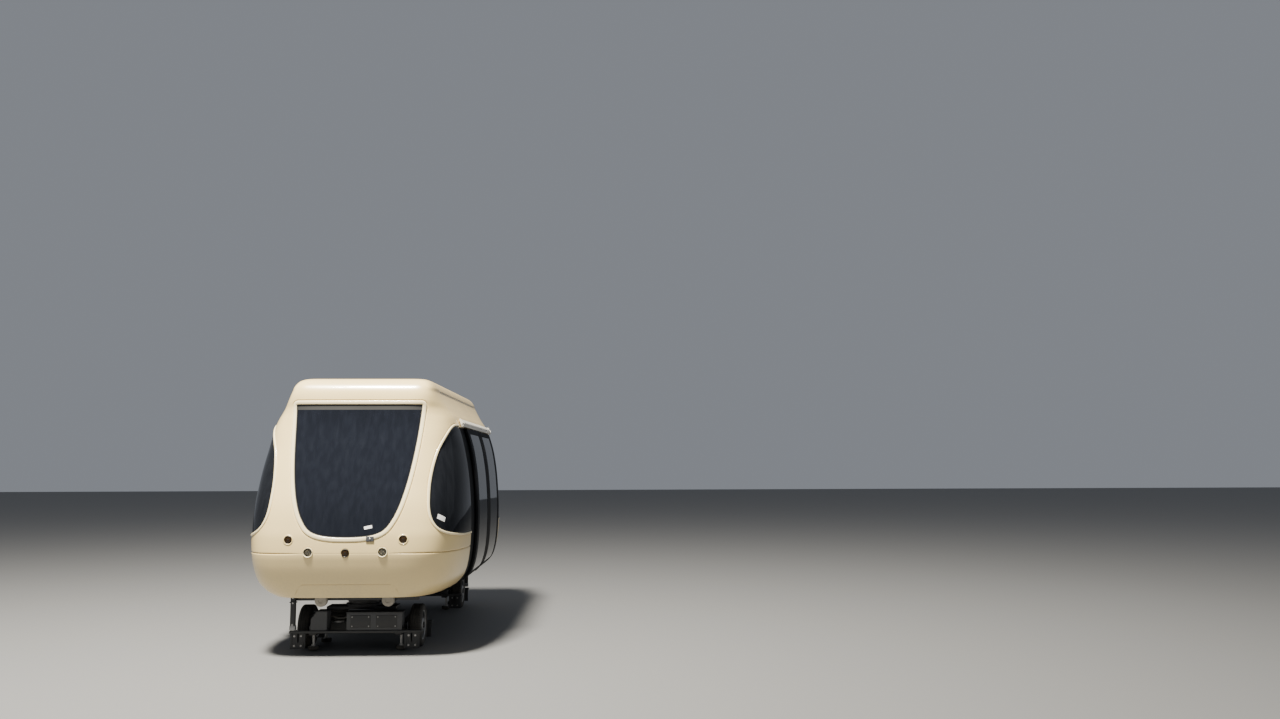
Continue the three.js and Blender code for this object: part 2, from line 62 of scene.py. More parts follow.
ends = [("front", -1), ("rear", 1)]
sides = [("left", -1), ("right", 1)]
corners = [(-1, -1), (-1, 1), (1, -1), (1, 1)]
bodyMiddle = (0, 0, 1.7)   # a point inside, which outer faces look away from
mm = 0.001
halfTurn = np.array([-1, -1, 1])   # carries a part of the front end round to the rear


# Materials.

paintLook = {
    "cream": (0.80, 0.62, 0.30),
    "creamShade": (0.72, 0.55, 0.26),
    # rim: a painted highlight, brighter than the body for sunlight on the window rim's raised bead
    "rim": (0.87, 0.74, 0.44),
    "black": (0.010, 0.011, 0.013),
    "chassis": (0.026, 0.028, 0.031),
    "housing": (0.17, 0.18, 0.18),
    "dust": (0.30, 0.27, 0.22),
}


def newGroup(name, inputs, outputs):
    group = bpy.data.node_groups.new(name, "ShaderNodeTree")
    for label, kind, value in inputs:
        socket = group.interface.new_socket(name=label, in_out="INPUT", socket_type=kind)
        socket.default_value = value
    for label, kind in outputs:
        group.interface.new_socket(name=label, in_out="OUTPUT", socket_type=kind)
    return group, group.nodes.new("NodeGroupInput"), group.nodes.new("NodeGroupOutput")


def feed(tree, value, socket):
    # Links a socket where the value is a socket too, and sets it otherwise.
    if isinstance(value, bpy.types.NodeSocket):
        tree.links.new(value, socket)
    else:
        socket.default_value = value


def noiseIn(tree, scale, detail, vector):
    noise = tree.nodes.new("ShaderNodeTexNoise")
    noise.inputs["Detail"].default_value = detail
    feed(tree, scale, noise.inputs["Scale"])
    tree.links.new(vector, noise.inputs["Vector"])
    return noise.outputs["Fac"]


def mixIn(tree, factor, a, b):
    mix = tree.nodes.new("ShaderNodeMix")
    mix.data_type = "RGBA"
    for value, socket in ((factor, mix.inputs[0]), (a, mix.inputs[6]), (b, mix.inputs[7])):
        feed(tree, value, socket)
    return mix.outputs[2]


def mathIn(tree, operation, *values):
    node = tree.nodes.new("ShaderNodeMath")
    node.operation = operation
    for value, socket in zip(values, node.inputs):
        feed(tree, value, socket)
    return node.outputs[0]


def rangeIn(tree, value, low, high, outLow, outHigh):
    # Straight map of low..high onto outLow..outHigh, held at both ends.
    node = tree.nodes.new("ShaderNodeMapRange")
    labels = ("Value", "From Min", "From Max", "To Min", "To Max")
    for given, label in zip((value, low, high, outLow, outHigh), labels):
        feed(tree, given, node.inputs[label])
    return node.outputs[0]


soilNoises = [
    # scale, detail, noise value where the film is thinnest, where it is full, share left where thinnest
    (2.3, 6, 0.35, 0.7, 0.25),
    (38.0, 4, 0.4, 0.65, 0.5),
]


def makeSoilGroup():
    # Road film: a mask that is strong low on the car and breaks up with noise, laid over a colour.
    group, gin, gout = newGroup(
        "roadFilm",
        [
            ("Color", "NodeSocketColor", (1, 1, 1, 1)),
            ("Soil", "NodeSocketColor", (0.3, 0.27, 0.22, 1)),
            ("Low", "NodeSocketFloat", 0.2),
            ("High", "NodeSocketFloat", 1.3),
            ("Amount", "NodeSocketFloat", 0.4),
            ("Roughness", "NodeSocketFloat", 0.3),
        ],
        [("Color", "NodeSocketColor"), ("Roughness", "NodeSocketFloat")],
    )
    coords = group.nodes.new("ShaderNodeTexCoord").outputs["Object"]
    split = group.nodes.new("ShaderNodeSeparateXYZ")
    group.links.new(coords, split.inputs[0])
    mask = rangeIn(group, split.outputs["Z"], gin.outputs["Low"], gin.outputs["High"], 1.0, 0.0)
    for scale, detail, low, high, least in soilNoises:
        noise = noiseIn(group, scale, detail, coords)
        mask = mathIn(group, "MULTIPLY", mask, rangeIn(group, noise, low, high, least, 1.0))
    mask = mathIn(group, "MULTIPLY", mask, gin.outputs["Amount"])
    colour = mixIn(group, mask, gin.outputs["Color"], gin.outputs["Soil"])
    rough = mathIn(group, "ADD", gin.outputs["Roughness"], mathIn(group, "MULTIPLY", mask, 0.5))
    group.links.new(colour, gout.inputs["Color"])
    group.links.new(rough, gout.inputs["Roughness"])
    return group


def makeToneGroup():
    # A slow noise drifts a colour between two near tones, and a fine one gives the height of the
    # paint's skin.
    group, gin, gout = newGroup(
        "toneDrift",
        [
            ("Color", "NodeSocketColor", (1, 1, 1, 1)),
            ("Second", "NodeSocketColor", (0.8, 0.8, 0.8, 1)),
            ("Scale", "NodeSocketFloat", 1.5),
            ("Grain", "NodeSocketFloat", 400.0),
        ],
        [("Color", "NodeSocketColor"), ("Height", "NodeSocketFloat")],
    )
    coords = group.nodes.new("ShaderNodeTexCoord").outputs["Object"]
    slow = noiseIn(group, gin.outputs["Scale"], 3, coords)
    drift = rangeIn(group, slow, 0.35, 0.68, 0.0, 0.6)
    colour = mixIn(group, drift, gin.outputs["Color"], gin.outputs["Second"])
    skin = noiseIn(group, gin.outputs["Grain"], 2, coords)
    group.links.new(colour, gout.inputs["Color"])
    group.links.new(skin, gout.inputs["Height"])
    return group


soilGroup = makeSoilGroup()
toneGroup = makeToneGroup()


def rgba(colour):
    return (*colour, 1.0)


def setInputs(node, values):
    for label, value in values.items():
        node.inputs[label].default_value = value


def newMaterial(name):
    material = bpy.data.materials.new(name)
    material.use_nodes = True
    return material, material.node_tree, material.node_tree.nodes["Principled BSDF"]


def finish(name, colour, second=None, roughness=0.4, metallic=0.0, coat=0.0, drift=1.5, grain=400.0,
           bump=0.05, bumpDistance=0.0005, soil=0.2, soilLow=0.2, soilHigh=1.3, soilColour=None,
           specular=0.5):
    # Painted, cast or rubber finish: tone drift, then road film, with a fine bump from the same grain.
    material, tree, shader = newMaterial(name)
    tone = tree.nodes.new("ShaderNodeGroup")
    tone.node_tree = toneGroup
    setInputs(tone, {"Color": rgba(colour), "Second": rgba(second or tuple(c * 0.88 for c in colour)),
                     "Scale": drift, "Grain": grain})
    film = tree.nodes.new("ShaderNodeGroup")
    film.node_tree = soilGroup
    setInputs(film, {"Soil": rgba(soilColour or paintLook["dust"]), "Low": soilLow, "High": soilHigh,
                     "Amount": soil, "Roughness": roughness})
    setInputs(shader, {"Metallic": metallic, "Coat Weight": coat, "Coat Roughness": 0.08,
                       "Specular IOR Level": specular})
    bumpNode = tree.nodes.new("ShaderNodeBump")
    setInputs(bumpNode, {"Strength": bump, "Distance": bumpDistance})
    tree.links.new(tone.outputs["Color"], film.inputs["Color"])
    tree.links.new(film.outputs["Color"], shader.inputs["Base Color"])
    tree.links.new(film.outputs["Roughness"], shader.inputs["Roughness"])
    tree.links.new(tone.outputs["Height"], bumpNode.inputs["Height"])
    tree.links.new(bumpNode.outputs["Normal"], shader.inputs["Normal"])
    return material


def glassFinish(name, colour, transmission, roughness=0.02, ior=1.5):
    # Tinted safety glass: part of it lets light through and the rest is a dark film with a gloss.
    material, tree, shader = newMaterial(name)
    coords = tree.nodes.new("ShaderNodeTexCoord")
    streak = tree.nodes.new("ShaderNodeMapping")
    setInputs(streak, {"Scale": (9.0, 9.0, 0.25)})
    tree.links.new(coords.outputs["Object"], streak.inputs["Vector"])
    veil = noiseIn(tree, 2.0, 5, streak.outputs["Vector"])
    streaky = rangeIn(tree, veil, 0.4, 0.7, 0.0, 1.0)
    tint = mixIn(tree, streaky, rgba(colour), rgba(tuple(c * 1.3 + 0.002 for c in colour)))
    tree.links.new(tint, shader.inputs["Base Color"])
    rough = rangeIn(tree, veil, 0.3, 0.75, roughness, roughness + 0.06)
    tree.links.new(rough, shader.inputs["Roughness"])
    setInputs(shader, {"Metallic": 0.0, "Transmission Weight": transmission, "IOR": ior})
    return material


materials = {
    "bodyPaint": finish("bodyPaint", paintLook["cream"], paintLook["creamShade"], 0.28, coat=0.35,
                        drift=0.9, grain=260.0, bump=0.03, soil=0.35, soilLow=0.55, soilHigh=1.35),
    # Window rim: its brighter colour is a painted highlight for sunlight on the raised bead round the glass.
    "windowRimHighlight": finish("windowRimHighlight", paintLook["rim"], (0.83, 0.69, 0.40), 0.25, coat=0.4, bump=0.02,
                        soil=0.15),
    "blackFrame": finish("blackFrame", paintLook["black"], (0.016, 0.017, 0.019), 0.5, grain=300.0,
                         bump=0.02, soil=0.12, soilLow=0.6, soilHigh=1.6, specular=0.02),
    "blackSatin": finish("blackSatin", (0.012, 0.012, 0.013), None, 0.45, bump=0.05, soil=0.15,
                         specular=0.3),
    "sealRubber": finish("sealRubber", (0.009, 0.009, 0.009), None, 0.7, grain=900.0, bump=0.2,
                         soil=0.2),
    "lightTrim": finish("lightTrim", (0.70, 0.66, 0.57), (0.60, 0.57, 0.50), 0.3, coat=0.2, soil=0.25),
    # Chassis paint: its road film is real dirt, and its dark colour is partly painted shade for the deep
    # shade under the car.
    "chassisPaint": finish("chassisPaint", paintLook["chassis"], (0.045, 0.045, 0.046), 0.5,
                           metallic=0.2, grain=120.0, bump=0.25, bumpDistance=0.001, soil=0.5,
                           soilLow=0.0, soilHigh=0.9, soilColour=(0.09, 0.085, 0.075)),
    "housingGrey": finish("housingGrey", paintLook["housing"], (0.13, 0.135, 0.14), 0.5, grain=160.0,
                          bump=0.2, bumpDistance=0.0008, soil=0.6, soilLow=0.0, soilHigh=0.8),
    "tyreRubber": finish("tyreRubber", (0.013, 0.013, 0.013), (0.03, 0.029, 0.027), 0.75, grain=700.0,
                         bump=0.35, soil=0.8, soilLow=0.0, soilHigh=0.75,
                         soilColour=(0.14, 0.125, 0.10)),
    "castRim": finish("castRim", (0.34, 0.35, 0.36), (0.25, 0.25, 0.26), 0.42, metallic=0.85,
                      grain=300.0, bump=0.3, soil=0.7, soilLow=0.0, soilHigh=0.7),
    "boltSteel": finish("boltSteel", (0.42, 0.42, 0.42), (0.28, 0.27, 0.26), 0.35, metallic=0.9,
                        grain=500.0, bump=0.2, soil=0.5, soilLow=0.0, soilHigh=0.8),
    "brushedSteel": finish("brushedSteel", (0.62, 0.63, 0.64), (0.5, 0.5, 0.51), 0.26, metallic=0.95,
                           grain=700.0, bump=0.1, soil=0.1),
    "floorRubber": finish("floorRubber", (0.055, 0.057, 0.06), (0.09, 0.09, 0.092), 0.65, drift=60.0,
                          grain=500.0, bump=0.4, bumpDistance=0.001, soil=0.2, soilHigh=1.0),
    "seatPlastic": finish("seatPlastic", (0.07, 0.12, 0.2), (0.05, 0.09, 0.16), 0.35, grain=900.0,
                          bump=0.15, soil=0.05),
    "chassisGrey": finish("chassisGrey", (0.045, 0.048, 0.054), (0.065, 0.067, 0.07), 0.5, grain=140.0,
                          bump=0.2, soil=0.45, soilLow=0.0, soilHigh=0.9,
                          soilColour=(0.12, 0.11, 0.095)),
    "bufferFace": finish("bufferFace", (0.42, 0.38, 0.31), (0.3, 0.28, 0.24), 0.55, grain=200.0,
                         bump=0.2, soil=0.5, soilLow=0.2, soilHigh=1.0),
    "hoseBlack": finish("hoseBlack", (0.015, 0.015, 0.016), None, 0.5, grain=900.0, bump=0.15,
                        soil=0.5, soilLow=0.0, soilHigh=0.9),
    "bezelPale": finish("bezelPale", (0.84, 0.74, 0.48), (0.76, 0.66, 0.42), 0.3, coat=0.3, soil=0.2),
    # Eave rail strip: its bright colour is a painted highlight along the rail's face; the small boxes near
    # the rail's ends use it too.
    "stripBright": finish("stripBright", (0.82, 0.81, 0.78), (0.7, 0.69, 0.66), 0.25, metallic=0.2,
                          soil=0.1),
    "visorGrey": finish("visorGrey", (0.036, 0.036, 0.034), (0.048, 0.047, 0.045), 0.4, bump=0.02,
                        soil=0.0),
    "lampBezel": finish("lampBezel", (0.30, 0.30, 0.29), (0.22, 0.22, 0.21), 0.35, metallic=0.6,
                        soil=0.1),
    "lampMirror": finish("lampMirror", (0.34, 0.29, 0.21), (0.27, 0.23, 0.17), 0.22, metallic=1.0,
                         bump=0.0, soil=0.0),
    "stickerWhite": finish("stickerWhite", (0.85, 0.85, 0.84), (0.78, 0.78, 0.78), 0.45, bump=0.1,
                           soil=0.05),
    "liningPale": finish("liningPale", (0.42, 0.41, 0.39), (0.36, 0.35, 0.34), 0.55, grain=500.0,
                         bump=0.2, soil=0.0),
    "tintedGlass": glassFinish("tintedGlass", (0.022, 0.026, 0.039), 0.7),
    "doorTint": glassFinish("doorTint", (0.016, 0.018, 0.023), 0.5, 0.02, 1.2),
    "fritBlack": finish("fritBlack", (0.006, 0.006, 0.007), None, 0.06, bump=0.0, soil=0.0),
    "clearLens": glassFinish("clearLens", (0.75, 0.72, 0.62), 0.95, 0.02, 1.3),
    "redLens": glassFinish("redLens", (0.026, 0.014, 0.005), 0.12, 0.1, 1.35),
}
print("materials made:", len(materials))


# Mesh making.

def addMesh(name, verts, faces, mats, faceMats=None, normals=None, sharp=32.0):
    # A mesh object from whole arrays: points (N, 3), faces (M, 3 or 4), a material index for each face, and
    # corner normals (M*k, 3) or none, where edges sharper than `sharp` degrees stay crisp.
    mesh = bpy.data.meshes.new(name)
    count, size = faces.shape
    mesh.vertices.add(len(verts))
    mesh.vertices.foreach_set("co", np.ascontiguousarray(verts, np.float32).ravel())
    mesh.loops.add(count * size)
    mesh.loops.foreach_set("vertex_index", np.ascontiguousarray(faces, np.int32).ravel())
    mesh.polygons.add(count)
    mesh.polygons.foreach_set("loop_start", np.arange(0, count * size, size, dtype=np.int32))
    for item in mats if isinstance(mats, (list, tuple)) else [mats]:
        mesh.materials.append(materials[item])
    if faceMats is not None:
        mesh.polygons.foreach_set("material_index", np.asarray(faceMats, np.int32))
    mesh.update(calc_edges=True)
    mesh.validate(verbose=False)
    mesh.shade_smooth()
    if normals is None:
        mesh.set_sharp_from_angle(angle=math.radians(sharp))
    else:
        mesh.normals_split_custom_set(normals.tolist())
    piece = bpy.data.objects.new(name, mesh)
    bpy.context.scene.collection.objects.link(piece)
    return piece


def place(piece, body, slot, *nodes):
    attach(piece, body)
    if nodes:
        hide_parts(*nodes)
    return piece


def joined(parts):
    # Several (verts, faces) pairs with the same number of corners, as one pair.
    verts = np.concatenate([p[0] for p in parts])
    starts = np.cumsum([0] + [len(p[0]) for p in parts[:-1]])
    faces = np.concatenate([p[1] + start for p, start in zip(parts, starts)])
    return verts, faces


def moved(part, offset):
    return part[0] + np.asarray(offset, float), part[1]


def flipped(part, x, y):
    # The part mirrored where x or y is -1.
    verts = part[0] * np.array([x, y, 1.0])
    return verts, outwards(verts, part[1])


def gridFaces(rows, columns, wrapRows=False, wrapColumns=False):
    # Quads between neighbouring rows and columns of a grid whose points are numbered row by row.
    r = np.arange(rows if wrapRows else rows - 1)
    c = np.arange(columns if wrapColumns else columns - 1)
    r, c = np.meshgrid(r, c, indexing="ij")
    r1, c1 = (r + 1) % rows, (c + 1) % columns
    quads = np.stack([r * columns + c, r1 * columns + c, r1 * columns + c1, r * columns + c1], -1)
    return quads.reshape(-1, 4)


def asTriangles(quads):
    return np.concatenate([quads[:, [0, 1, 2]], quads[:, [0, 2, 3]]])


def outwards(verts, faces):
    # Turns a closed body's triangles round if its volume comes out negative.
    a, b, c = (verts[faces[:, k]] for k in range(3))
    return faces if np.einsum("ij,ij->", a, np.cross(b, c)) > 0 else faces[:, ::-1]


def revolve(profile, sides=48):
    # A closed profile of (radius, height) points turned about Z: x = r cos a, y = r sin a.
    profile = np.asarray(profile, float)
    angle = np.arange(sides) / sides * 2 * math.pi
    r, h = profile[:, 0], profile[:, 1]
    ring = np.stack([np.outer(np.cos(angle), r), np.outer(np.sin(angle), r), np.tile(h, (sides, 1))], -1)
    verts = ring.reshape(-1, 3)
    return verts, outwards(verts, asTriangles(gridFaces(sides, len(profile), True, True)))


def fans(columns, last, count):
    # Triangles that close the first ring on point number count, and the last ring on the next one.
    c = np.arange(columns)
    n = (c + 1) % columns
    low = np.stack([c, n, np.full(columns, count)], -1)
    high = np.stack([last + n, last + c, np.full(columns, count + 1)], -1)
    return np.concatenate([low, high])


def lathe(profile, sides=32):
    # A profile of (radius, height) points that starts and ends on the axis, turned about Z.
    profile = np.asarray(profile, float)
    angle = np.arange(sides) / sides * 2 * math.pi
    r, h = profile[1:-1, 0], profile[1:-1, 1]
    heights = np.tile(h[:, None], (1, sides))
    ring = np.stack([np.outer(r, np.cos(angle)), np.outer(r, np.sin(angle)), heights], -1)
    verts = np.concatenate([ring.reshape(-1, 3), [[0, 0, profile[0, 1]], [0, 0, profile[-1, 1]]]])
    walls = asTriangles(gridFaces(len(r), sides, False, True))
    faces = np.concatenate([walls, fans(sides, (len(r) - 1) * sides, len(verts) - 2)])
    return verts, outwards(verts, faces)


def rod(radius, low, high, sides):
    return lathe([(0, low), (radius, low), (radius, high), (0, high)], sides)


def circleOf(count, radius, z):
    angle = np.arange(count) / count * 2 * math.pi
    return np.column_stack([radius * np.cos(angle), radius * np.sin(angle), np.full(count, z)])


def facing(part, point, normal):
    # Stands a part made along Z on a point, with its Z along the normal.
    normal = np.asarray(normal, float) / np.linalg.norm(normal)
    up = np.array([0.0, 0.0, 1.0]) if abs(normal[2]) < 0.9 else np.array([0.0, 1.0, 0.0])
    across = np.cross(up, normal)
    across /= np.linalg.norm(across)
    turn = np.array([across, np.cross(normal, across), normal])
    return part[0] @ turn + np.asarray(point, float), part[1]


def roundedBox(low, high, radius, steps=2):
    # A box with rounded edges: corners of a smaller box, plus the radius along each direction of a
    # cube's grid.
    low, high = np.asarray(low, float), np.asarray(high, float)
    centre, half = (low + high) / 2, (high - low) / 2
    radius = min(radius, half.min() * 0.98)
    angle = np.linspace(0, math.pi / 4, steps + 1)
    t = np.concatenate([-np.tan(angle[::-1]), np.tan(angle)])
    signs = np.repeat([-1.0, 1.0], steps + 1)
    u, v = np.meshgrid(t, t, indexing="ij")
    su, sv = np.meshgrid(signs, signs, indexing="ij")
    parts = []
    for axis in range(3):
        for sign in (-1, 1):
            direction, corner = np.zeros(u.shape + (3,)), np.zeros(u.shape + (3,))
            for k, d, c in ((0, sign, sign), (1, u * sign, su * sign), (2, v, sv)):
                direction[..., (axis + k) % 3] = d
                corner[..., (axis + k) % 3] = c
            direction /= np.linalg.norm(direction, axis=-1)[..., None]
            points = corner * (half - radius) + direction * radius + centre
            parts.append((points.reshape(-1, 3), gridFaces(*u.shape)))
    verts, faces = joined(parts)
    _, first, back = np.unique(np.round(verts, 6), axis=0, return_index=True, return_inverse=True)
    return verts[first], asTriangles(back.reshape(-1)[faces])


def boxOf(limits, radius):
    # A rounded box from (x0, x1, y0, y1, z0, z1) in millimetres.
    limits = np.asarray(limits, float) * mm
    return roundedBox(limits[::2], limits[1::2], radius * mm)


def prism(outline, low, high, bevel):
    # An outline in (u, v) carried along w from low to high, with its two rims drawn in by the bevel.
    outline = np.asarray(outline, float)
    ahead, behind = np.roll(outline, -1, 0) - outline, outline - np.roll(outline, 1, 0)
    turns = [np.stack([d[:, 1], -d[:, 0]], -1) / np.linalg.norm(d, axis=1)[:, None] for d in (ahead, behind)]
    area = np.sum(outline[:, 0] * np.roll(outline[:, 1], -1) - np.roll(outline[:, 0], -1) * outline[:, 1])
    mitre = (turns[0] + turns[1]) / (1 + np.sum(turns[0] * turns[1], 1))[:, None] * (1 if area > 0 else -1)
    small = outline - mitre * bevel
    levels = [(low, small), (low + bevel, outline), (high - bevel, outline), (high, small)]
    verts = np.concatenate([np.column_stack([ring, np.full(len(ring), w)]) for w, ring in levels])
    cap = np.array(tessellate_polygon([[Vector((u, v, 0)) for u, v in outline]]))
    faces = closeEnds(asTriangles(gridFaces(4, len(outline), False, True)), cap, len(outline), 4)
    return verts, outwards(verts, faces)


def closeEnds(sides, cap, perRing, rings):
    # Adds a cap to each end of a stack of rings, wound to match the sides.
    ring = np.arange(perRing)
    along = {(a, b) for a, b in zip(ring, np.roll(ring, -1))}
    edges = {(int(t[k]), int(t[(k + 1) % 3])) for t in cap for k in range(3)}
    cap = cap if along & edges else cap[:, ::-1]
    return np.concatenate([sides, cap, cap[:, ::-1] + (rings - 1) * perRing])


def axes(part, order):
    # The same part with its axes renamed, as "yzx" for u along Y, v along Z and w along X.
    slots = ["xyz".index(letter) for letter in order]
    verts = np.empty_like(part[0])
    verts[:, slots] = part[0]
    return verts, outwards(verts, part[1])


def coil(centre, radius, wire, length, turns):
    # A helical spring about the X axis: y = r cos a and z = r sin a while x runs on evenly.
    t = np.linspace(0, 1, int(turns * 16) + 1)
    angle = t * turns * 2 * math.pi
    run = (t - 0.5) * (length - 2 * wire)
    path = np.stack([run, radius * np.cos(angle), radius * np.sin(angle)], -1)
    return tube(path + np.asarray(centre, float), wire, 8)


def hexBolt(radius, height):
    # A washer and a chamfered hexagonal head, standing on Z = 0.
    washer = rod(radius * 1.35, -0.001, height * 0.2, 16)
    head = lathe([(0, 0), (radius, 0), (radius, height * 0.85), (radius * 0.86, height), (0, height)], 6)
    return joined([washer, head])


def bolts(spots, normal, radius, height):
    return joined([facing(hexBolt(radius, height), spot, normal) for spot in spots])


def assemble(name, parts, sharp=32.0, turn=False):
    # One object from (material, part) pairs; turn carries it round to the rear end.
    names = list(dict.fromkeys(material for material, _ in parts))
    verts, faces = joined([part for _, part in parts])
    chosen = np.concatenate([np.full(len(part[1]), names.index(material)) for material, part in parts])
    if turn:
        verts = verts * halfTurn
    return addMesh(name, verts, faces, names, chosen, sharp=sharp)


def unit(vectors):
    return vectors / np.maximum(np.linalg.norm(vectors, axis=-1), 1e-12)[..., None]


def tube(path, radius, sides):
    # A round tube along a path of points.
    a = np.arange(sides) / sides * 2 * math.pi
    return sweep(np.asarray(path, float), np.stack([np.cos(a), np.sin(a)], -1) * radius)


def sweep(path, profile, closed=False, normals=None):
    # A closed profile of (across, out) points carried along a path. `normals` give the out direction,
    # or it is carried on from point to point without twisting.
    ahead = np.roll(path, -1, 0) - path
    behind = path - np.roll(path, 1, 0)
    if not closed:
        ahead[-1], behind[0] = behind[-1], ahead[0]
    tangent = unit(unit(ahead) + unit(behind))
    if normals is None:
        reference = np.array([0.0, 0.0, 1.0]) if abs(tangent[0, 2]) < 0.9 else np.array([1.0, 0.0, 0.0])
        normals = [reference - tangent[0] * (reference @ tangent[0])]
        for t in tangent[1:]:
            normals.append(normals[-1] - t * (normals[-1] @ t))
            normals[-1] = normals[-1] / np.linalg.norm(normals[-1])
        normals = np.array(normals)
        normals[0] /= np.linalg.norm(normals[0])
    else:
        normals = unit(normals - tangent * np.sum(normals * tangent, 1)[:, None])
    across = np.cross(tangent, normals)
    verts = path[:, None] + across[:, None] * profile[None, :, :1] + normals[:, None] * profile[None, :, 1:]
    rows, columns = len(path), len(profile)
    faces = asTriangles(gridFaces(rows, columns, closed, True))
    verts = verts.reshape(-1, 3)
    if not closed:
        faces = np.concatenate([faces, fans(columns, (rows - 1) * columns, len(verts))])
        verts = np.concatenate([verts, [verts[:columns].mean(0), verts[-columns:].mean(0)]])
    return verts, outwards(verts, faces)


def triangleCross(verts, faces):
    # Twice each triangle's area along its normal.
    a, b, c = (verts[faces[:, k]] for k in range(3))
    return np.cross(b - a, c - a)


def pointNormals(verts, faces):
    # Area-weighted normals of triangles, gathered at each point.
    cross = triangleCross(verts, faces)
    corners = faces.ravel()
    count = len(verts)
    return unit(np.stack([np.bincount(corners, np.repeat(cross[:, k], 3), count) for k in range(3)], -1))


def splitAt(params, faces, field, level=0.0, keep=None, snap=0.0004):
    # Divides triangles along field = level, so none crosses it, and keeps only the side asked for (1 or -1).
    value = field(params) - level
    value[np.abs(value) < snap] = 0.0
    sign = np.sign(value)[faces]
    high, low = sign.max(1), sign.min(1)
    mixed = (high > 0) & (low < 0)
    calm = faces[~mixed]
    calmSide = np.where(high[~mixed] > 0, 1, -1)
    cut = faces[mixed]
    if len(cut):
        s = np.sign(value)[cut]
        positives = (s > 0).sum(1)
        zeros = (s == 0).sum(1)
        lone = np.where(zeros == 1, 0, np.where(positives == 1, 1, -1))
        turn = np.argmax(s == lone[:, None], axis=1)
        cut = np.stack([cut[np.arange(len(cut)), (turn + k) % 3] for k in range(3)], -1)
        isZero = zeros == 1
        edges = np.concatenate([cut[isZero][:, [1, 2]], cut[~isZero][:, [0, 1]], cut[~isZero][:, [0, 2]]])
        key, back = np.unique(np.sort(edges, 1), axis=0, return_inverse=True)
        back = back.reshape(-1)
        t = value[key[:, 0]] / (value[key[:, 0]] - value[key[:, 1]])
        fresh = params[key[:, 0]] + (params[key[:, 1]] - params[key[:, 0]]) * t[:, None]
        number = back + len(params)
        params = np.concatenate([params, fresh])
        a, b = int(isZero.sum()), int((~isZero).sum())
        z, tip = cut[isZero], cut[~isZero]
        m = number[:a]
        m1, m2 = number[a:a + b], number[a + b:]
        sz = np.sign(value)[z]
        made = [np.stack([z[:, 0], z[:, 1], m], -1), np.stack([z[:, 0], m, z[:, 2]], -1)]
        side = [sz[:, 1], sz[:, 2]]
        tipSide = lone[~isZero]
        made += [np.stack([tip[:, 0], m1, m2], -1), np.stack([m1, tip[:, 1], tip[:, 2]], -1),
                 np.stack([m1, tip[:, 2], m2], -1)]
        side += [tipSide, -tipSide, -tipSide]
        faces = np.concatenate([calm, *made])
        faceSide = np.concatenate([calmSide, *side])
    else:
        faces, faceSide = calm, calmSide
    if keep is not None:
        faces = faces[faceSide == keep]
    used, back = np.unique(faces, return_inverse=True)
    return params[used], back.reshape(faces.shape)


def shell(outer, inner, faces):
    # Closes a wall: the outer skin, the inner one turned round, and a strip between them along every
    # free edge. Gives points, triangles, which skin each face is on (0 outer, 1 inner, 2 edge) and
    # corner normals.
    n = len(outer)
    edges = np.concatenate([faces[:, [0, 1]], faces[:, [1, 2]], faces[:, [2, 0]]])
    _, index, counts = np.unique(np.sort(edges, 1), axis=0, return_index=True, return_counts=True)
    free = edges[index[counts == 1]]
    strip = np.concatenate([np.stack([free[:, 1], free[:, 0], free[:, 0] + n], -1),
                            np.stack([free[:, 1], free[:, 0] + n, free[:, 1] + n], -1)])
    verts = np.concatenate([outer, inner])
    back = faces[:, ::-1] + n
    every = np.concatenate([faces, back, strip])
    group = np.repeat([0, 1, 2], [len(faces), len(back), len(strip)])
    normals = np.zeros((len(every), 3, 3))
    for k, part in enumerate((faces, back, strip)):
        normals[group == k] = pointNormals(verts, part)[part]
    return verts, every, group, normals.reshape(-1, 3)


def orientOut(verts, faces, away):
    # Turns all triangles round if the first ones face the point `away` from the outside.
    out = (triangleCross(verts, faces) * (verts[faces[:, 0]] - np.asarray(away))).sum()
    return faces if out > 0 else faces[:, ::-1]


def bezier(*points, count=24):
    p = np.asarray(points, float)
    t = np.linspace(0, 1, count)[:, None]
    return (1 - t) ** 3 * p[0] + 3 * t * (1 - t) ** 2 * p[1] + 3 * t**2 * (1 - t) * p[2] + t**3 * p[3]


def outlineDistance(points, outline):
    # Distance to a closed outline in a plane, negative inside it.
    best = np.full(len(points), 1e9)
    inside = np.zeros(len(points), bool)
    for (ax, ay), (bx, by) in zip(outline, np.roll(outline, -1, 0)):
        dx, dy = bx - ax, by - ay
        size = dx * dx + dy * dy
        if size < 1e-14:
            continue
        t = np.clip(((points[:, 0] - ax) * dx + (points[:, 1] - ay) * dy) / size, 0, 1)
        best = np.minimum(best, (points[:, 0] - ax - t * dx) ** 2 + (points[:, 1] - ay - t * dy) ** 2)
        if ay != by:
            crosses = (ay > points[:, 1]) != (by > points[:, 1])
            inside ^= crosses & (points[:, 0] < dx * (points[:, 1] - ay) / dy + ax)
    return np.sqrt(best) * np.where(inside, -1, 1)


# The body's form.

def gridOf(us, vs):
    # Every pair of two lists of values as (N, 2) params, and the triangles between them.
    a, b = np.meshgrid(us, vs, indexing="ij")
    return np.stack([a.ravel(), b.ravel()], -1), asTriangles(gridFaces(*a.shape))


def cutAlong(params, faces, field, levels, snap=0.0004):
    for level in levels:
        params, faces = splitAt(params, faces, field, level, snap=snap)
    return params, faces


def cutTo(params, faces, field, levels=(), snap=0.0004):
    # Keeps what lies where the field is above 0, and divides it along further levels.
    params, faces = splitAt(params, faces, field, keep=1)
    return cutAlong(params, faces, field, levels, snap)


def runAlong(points):
    # Length of a path up to each of its points.
    return np.concatenate([[0], np.cumsum(np.linalg.norm(np.diff(points, axis=0), axis=1))])


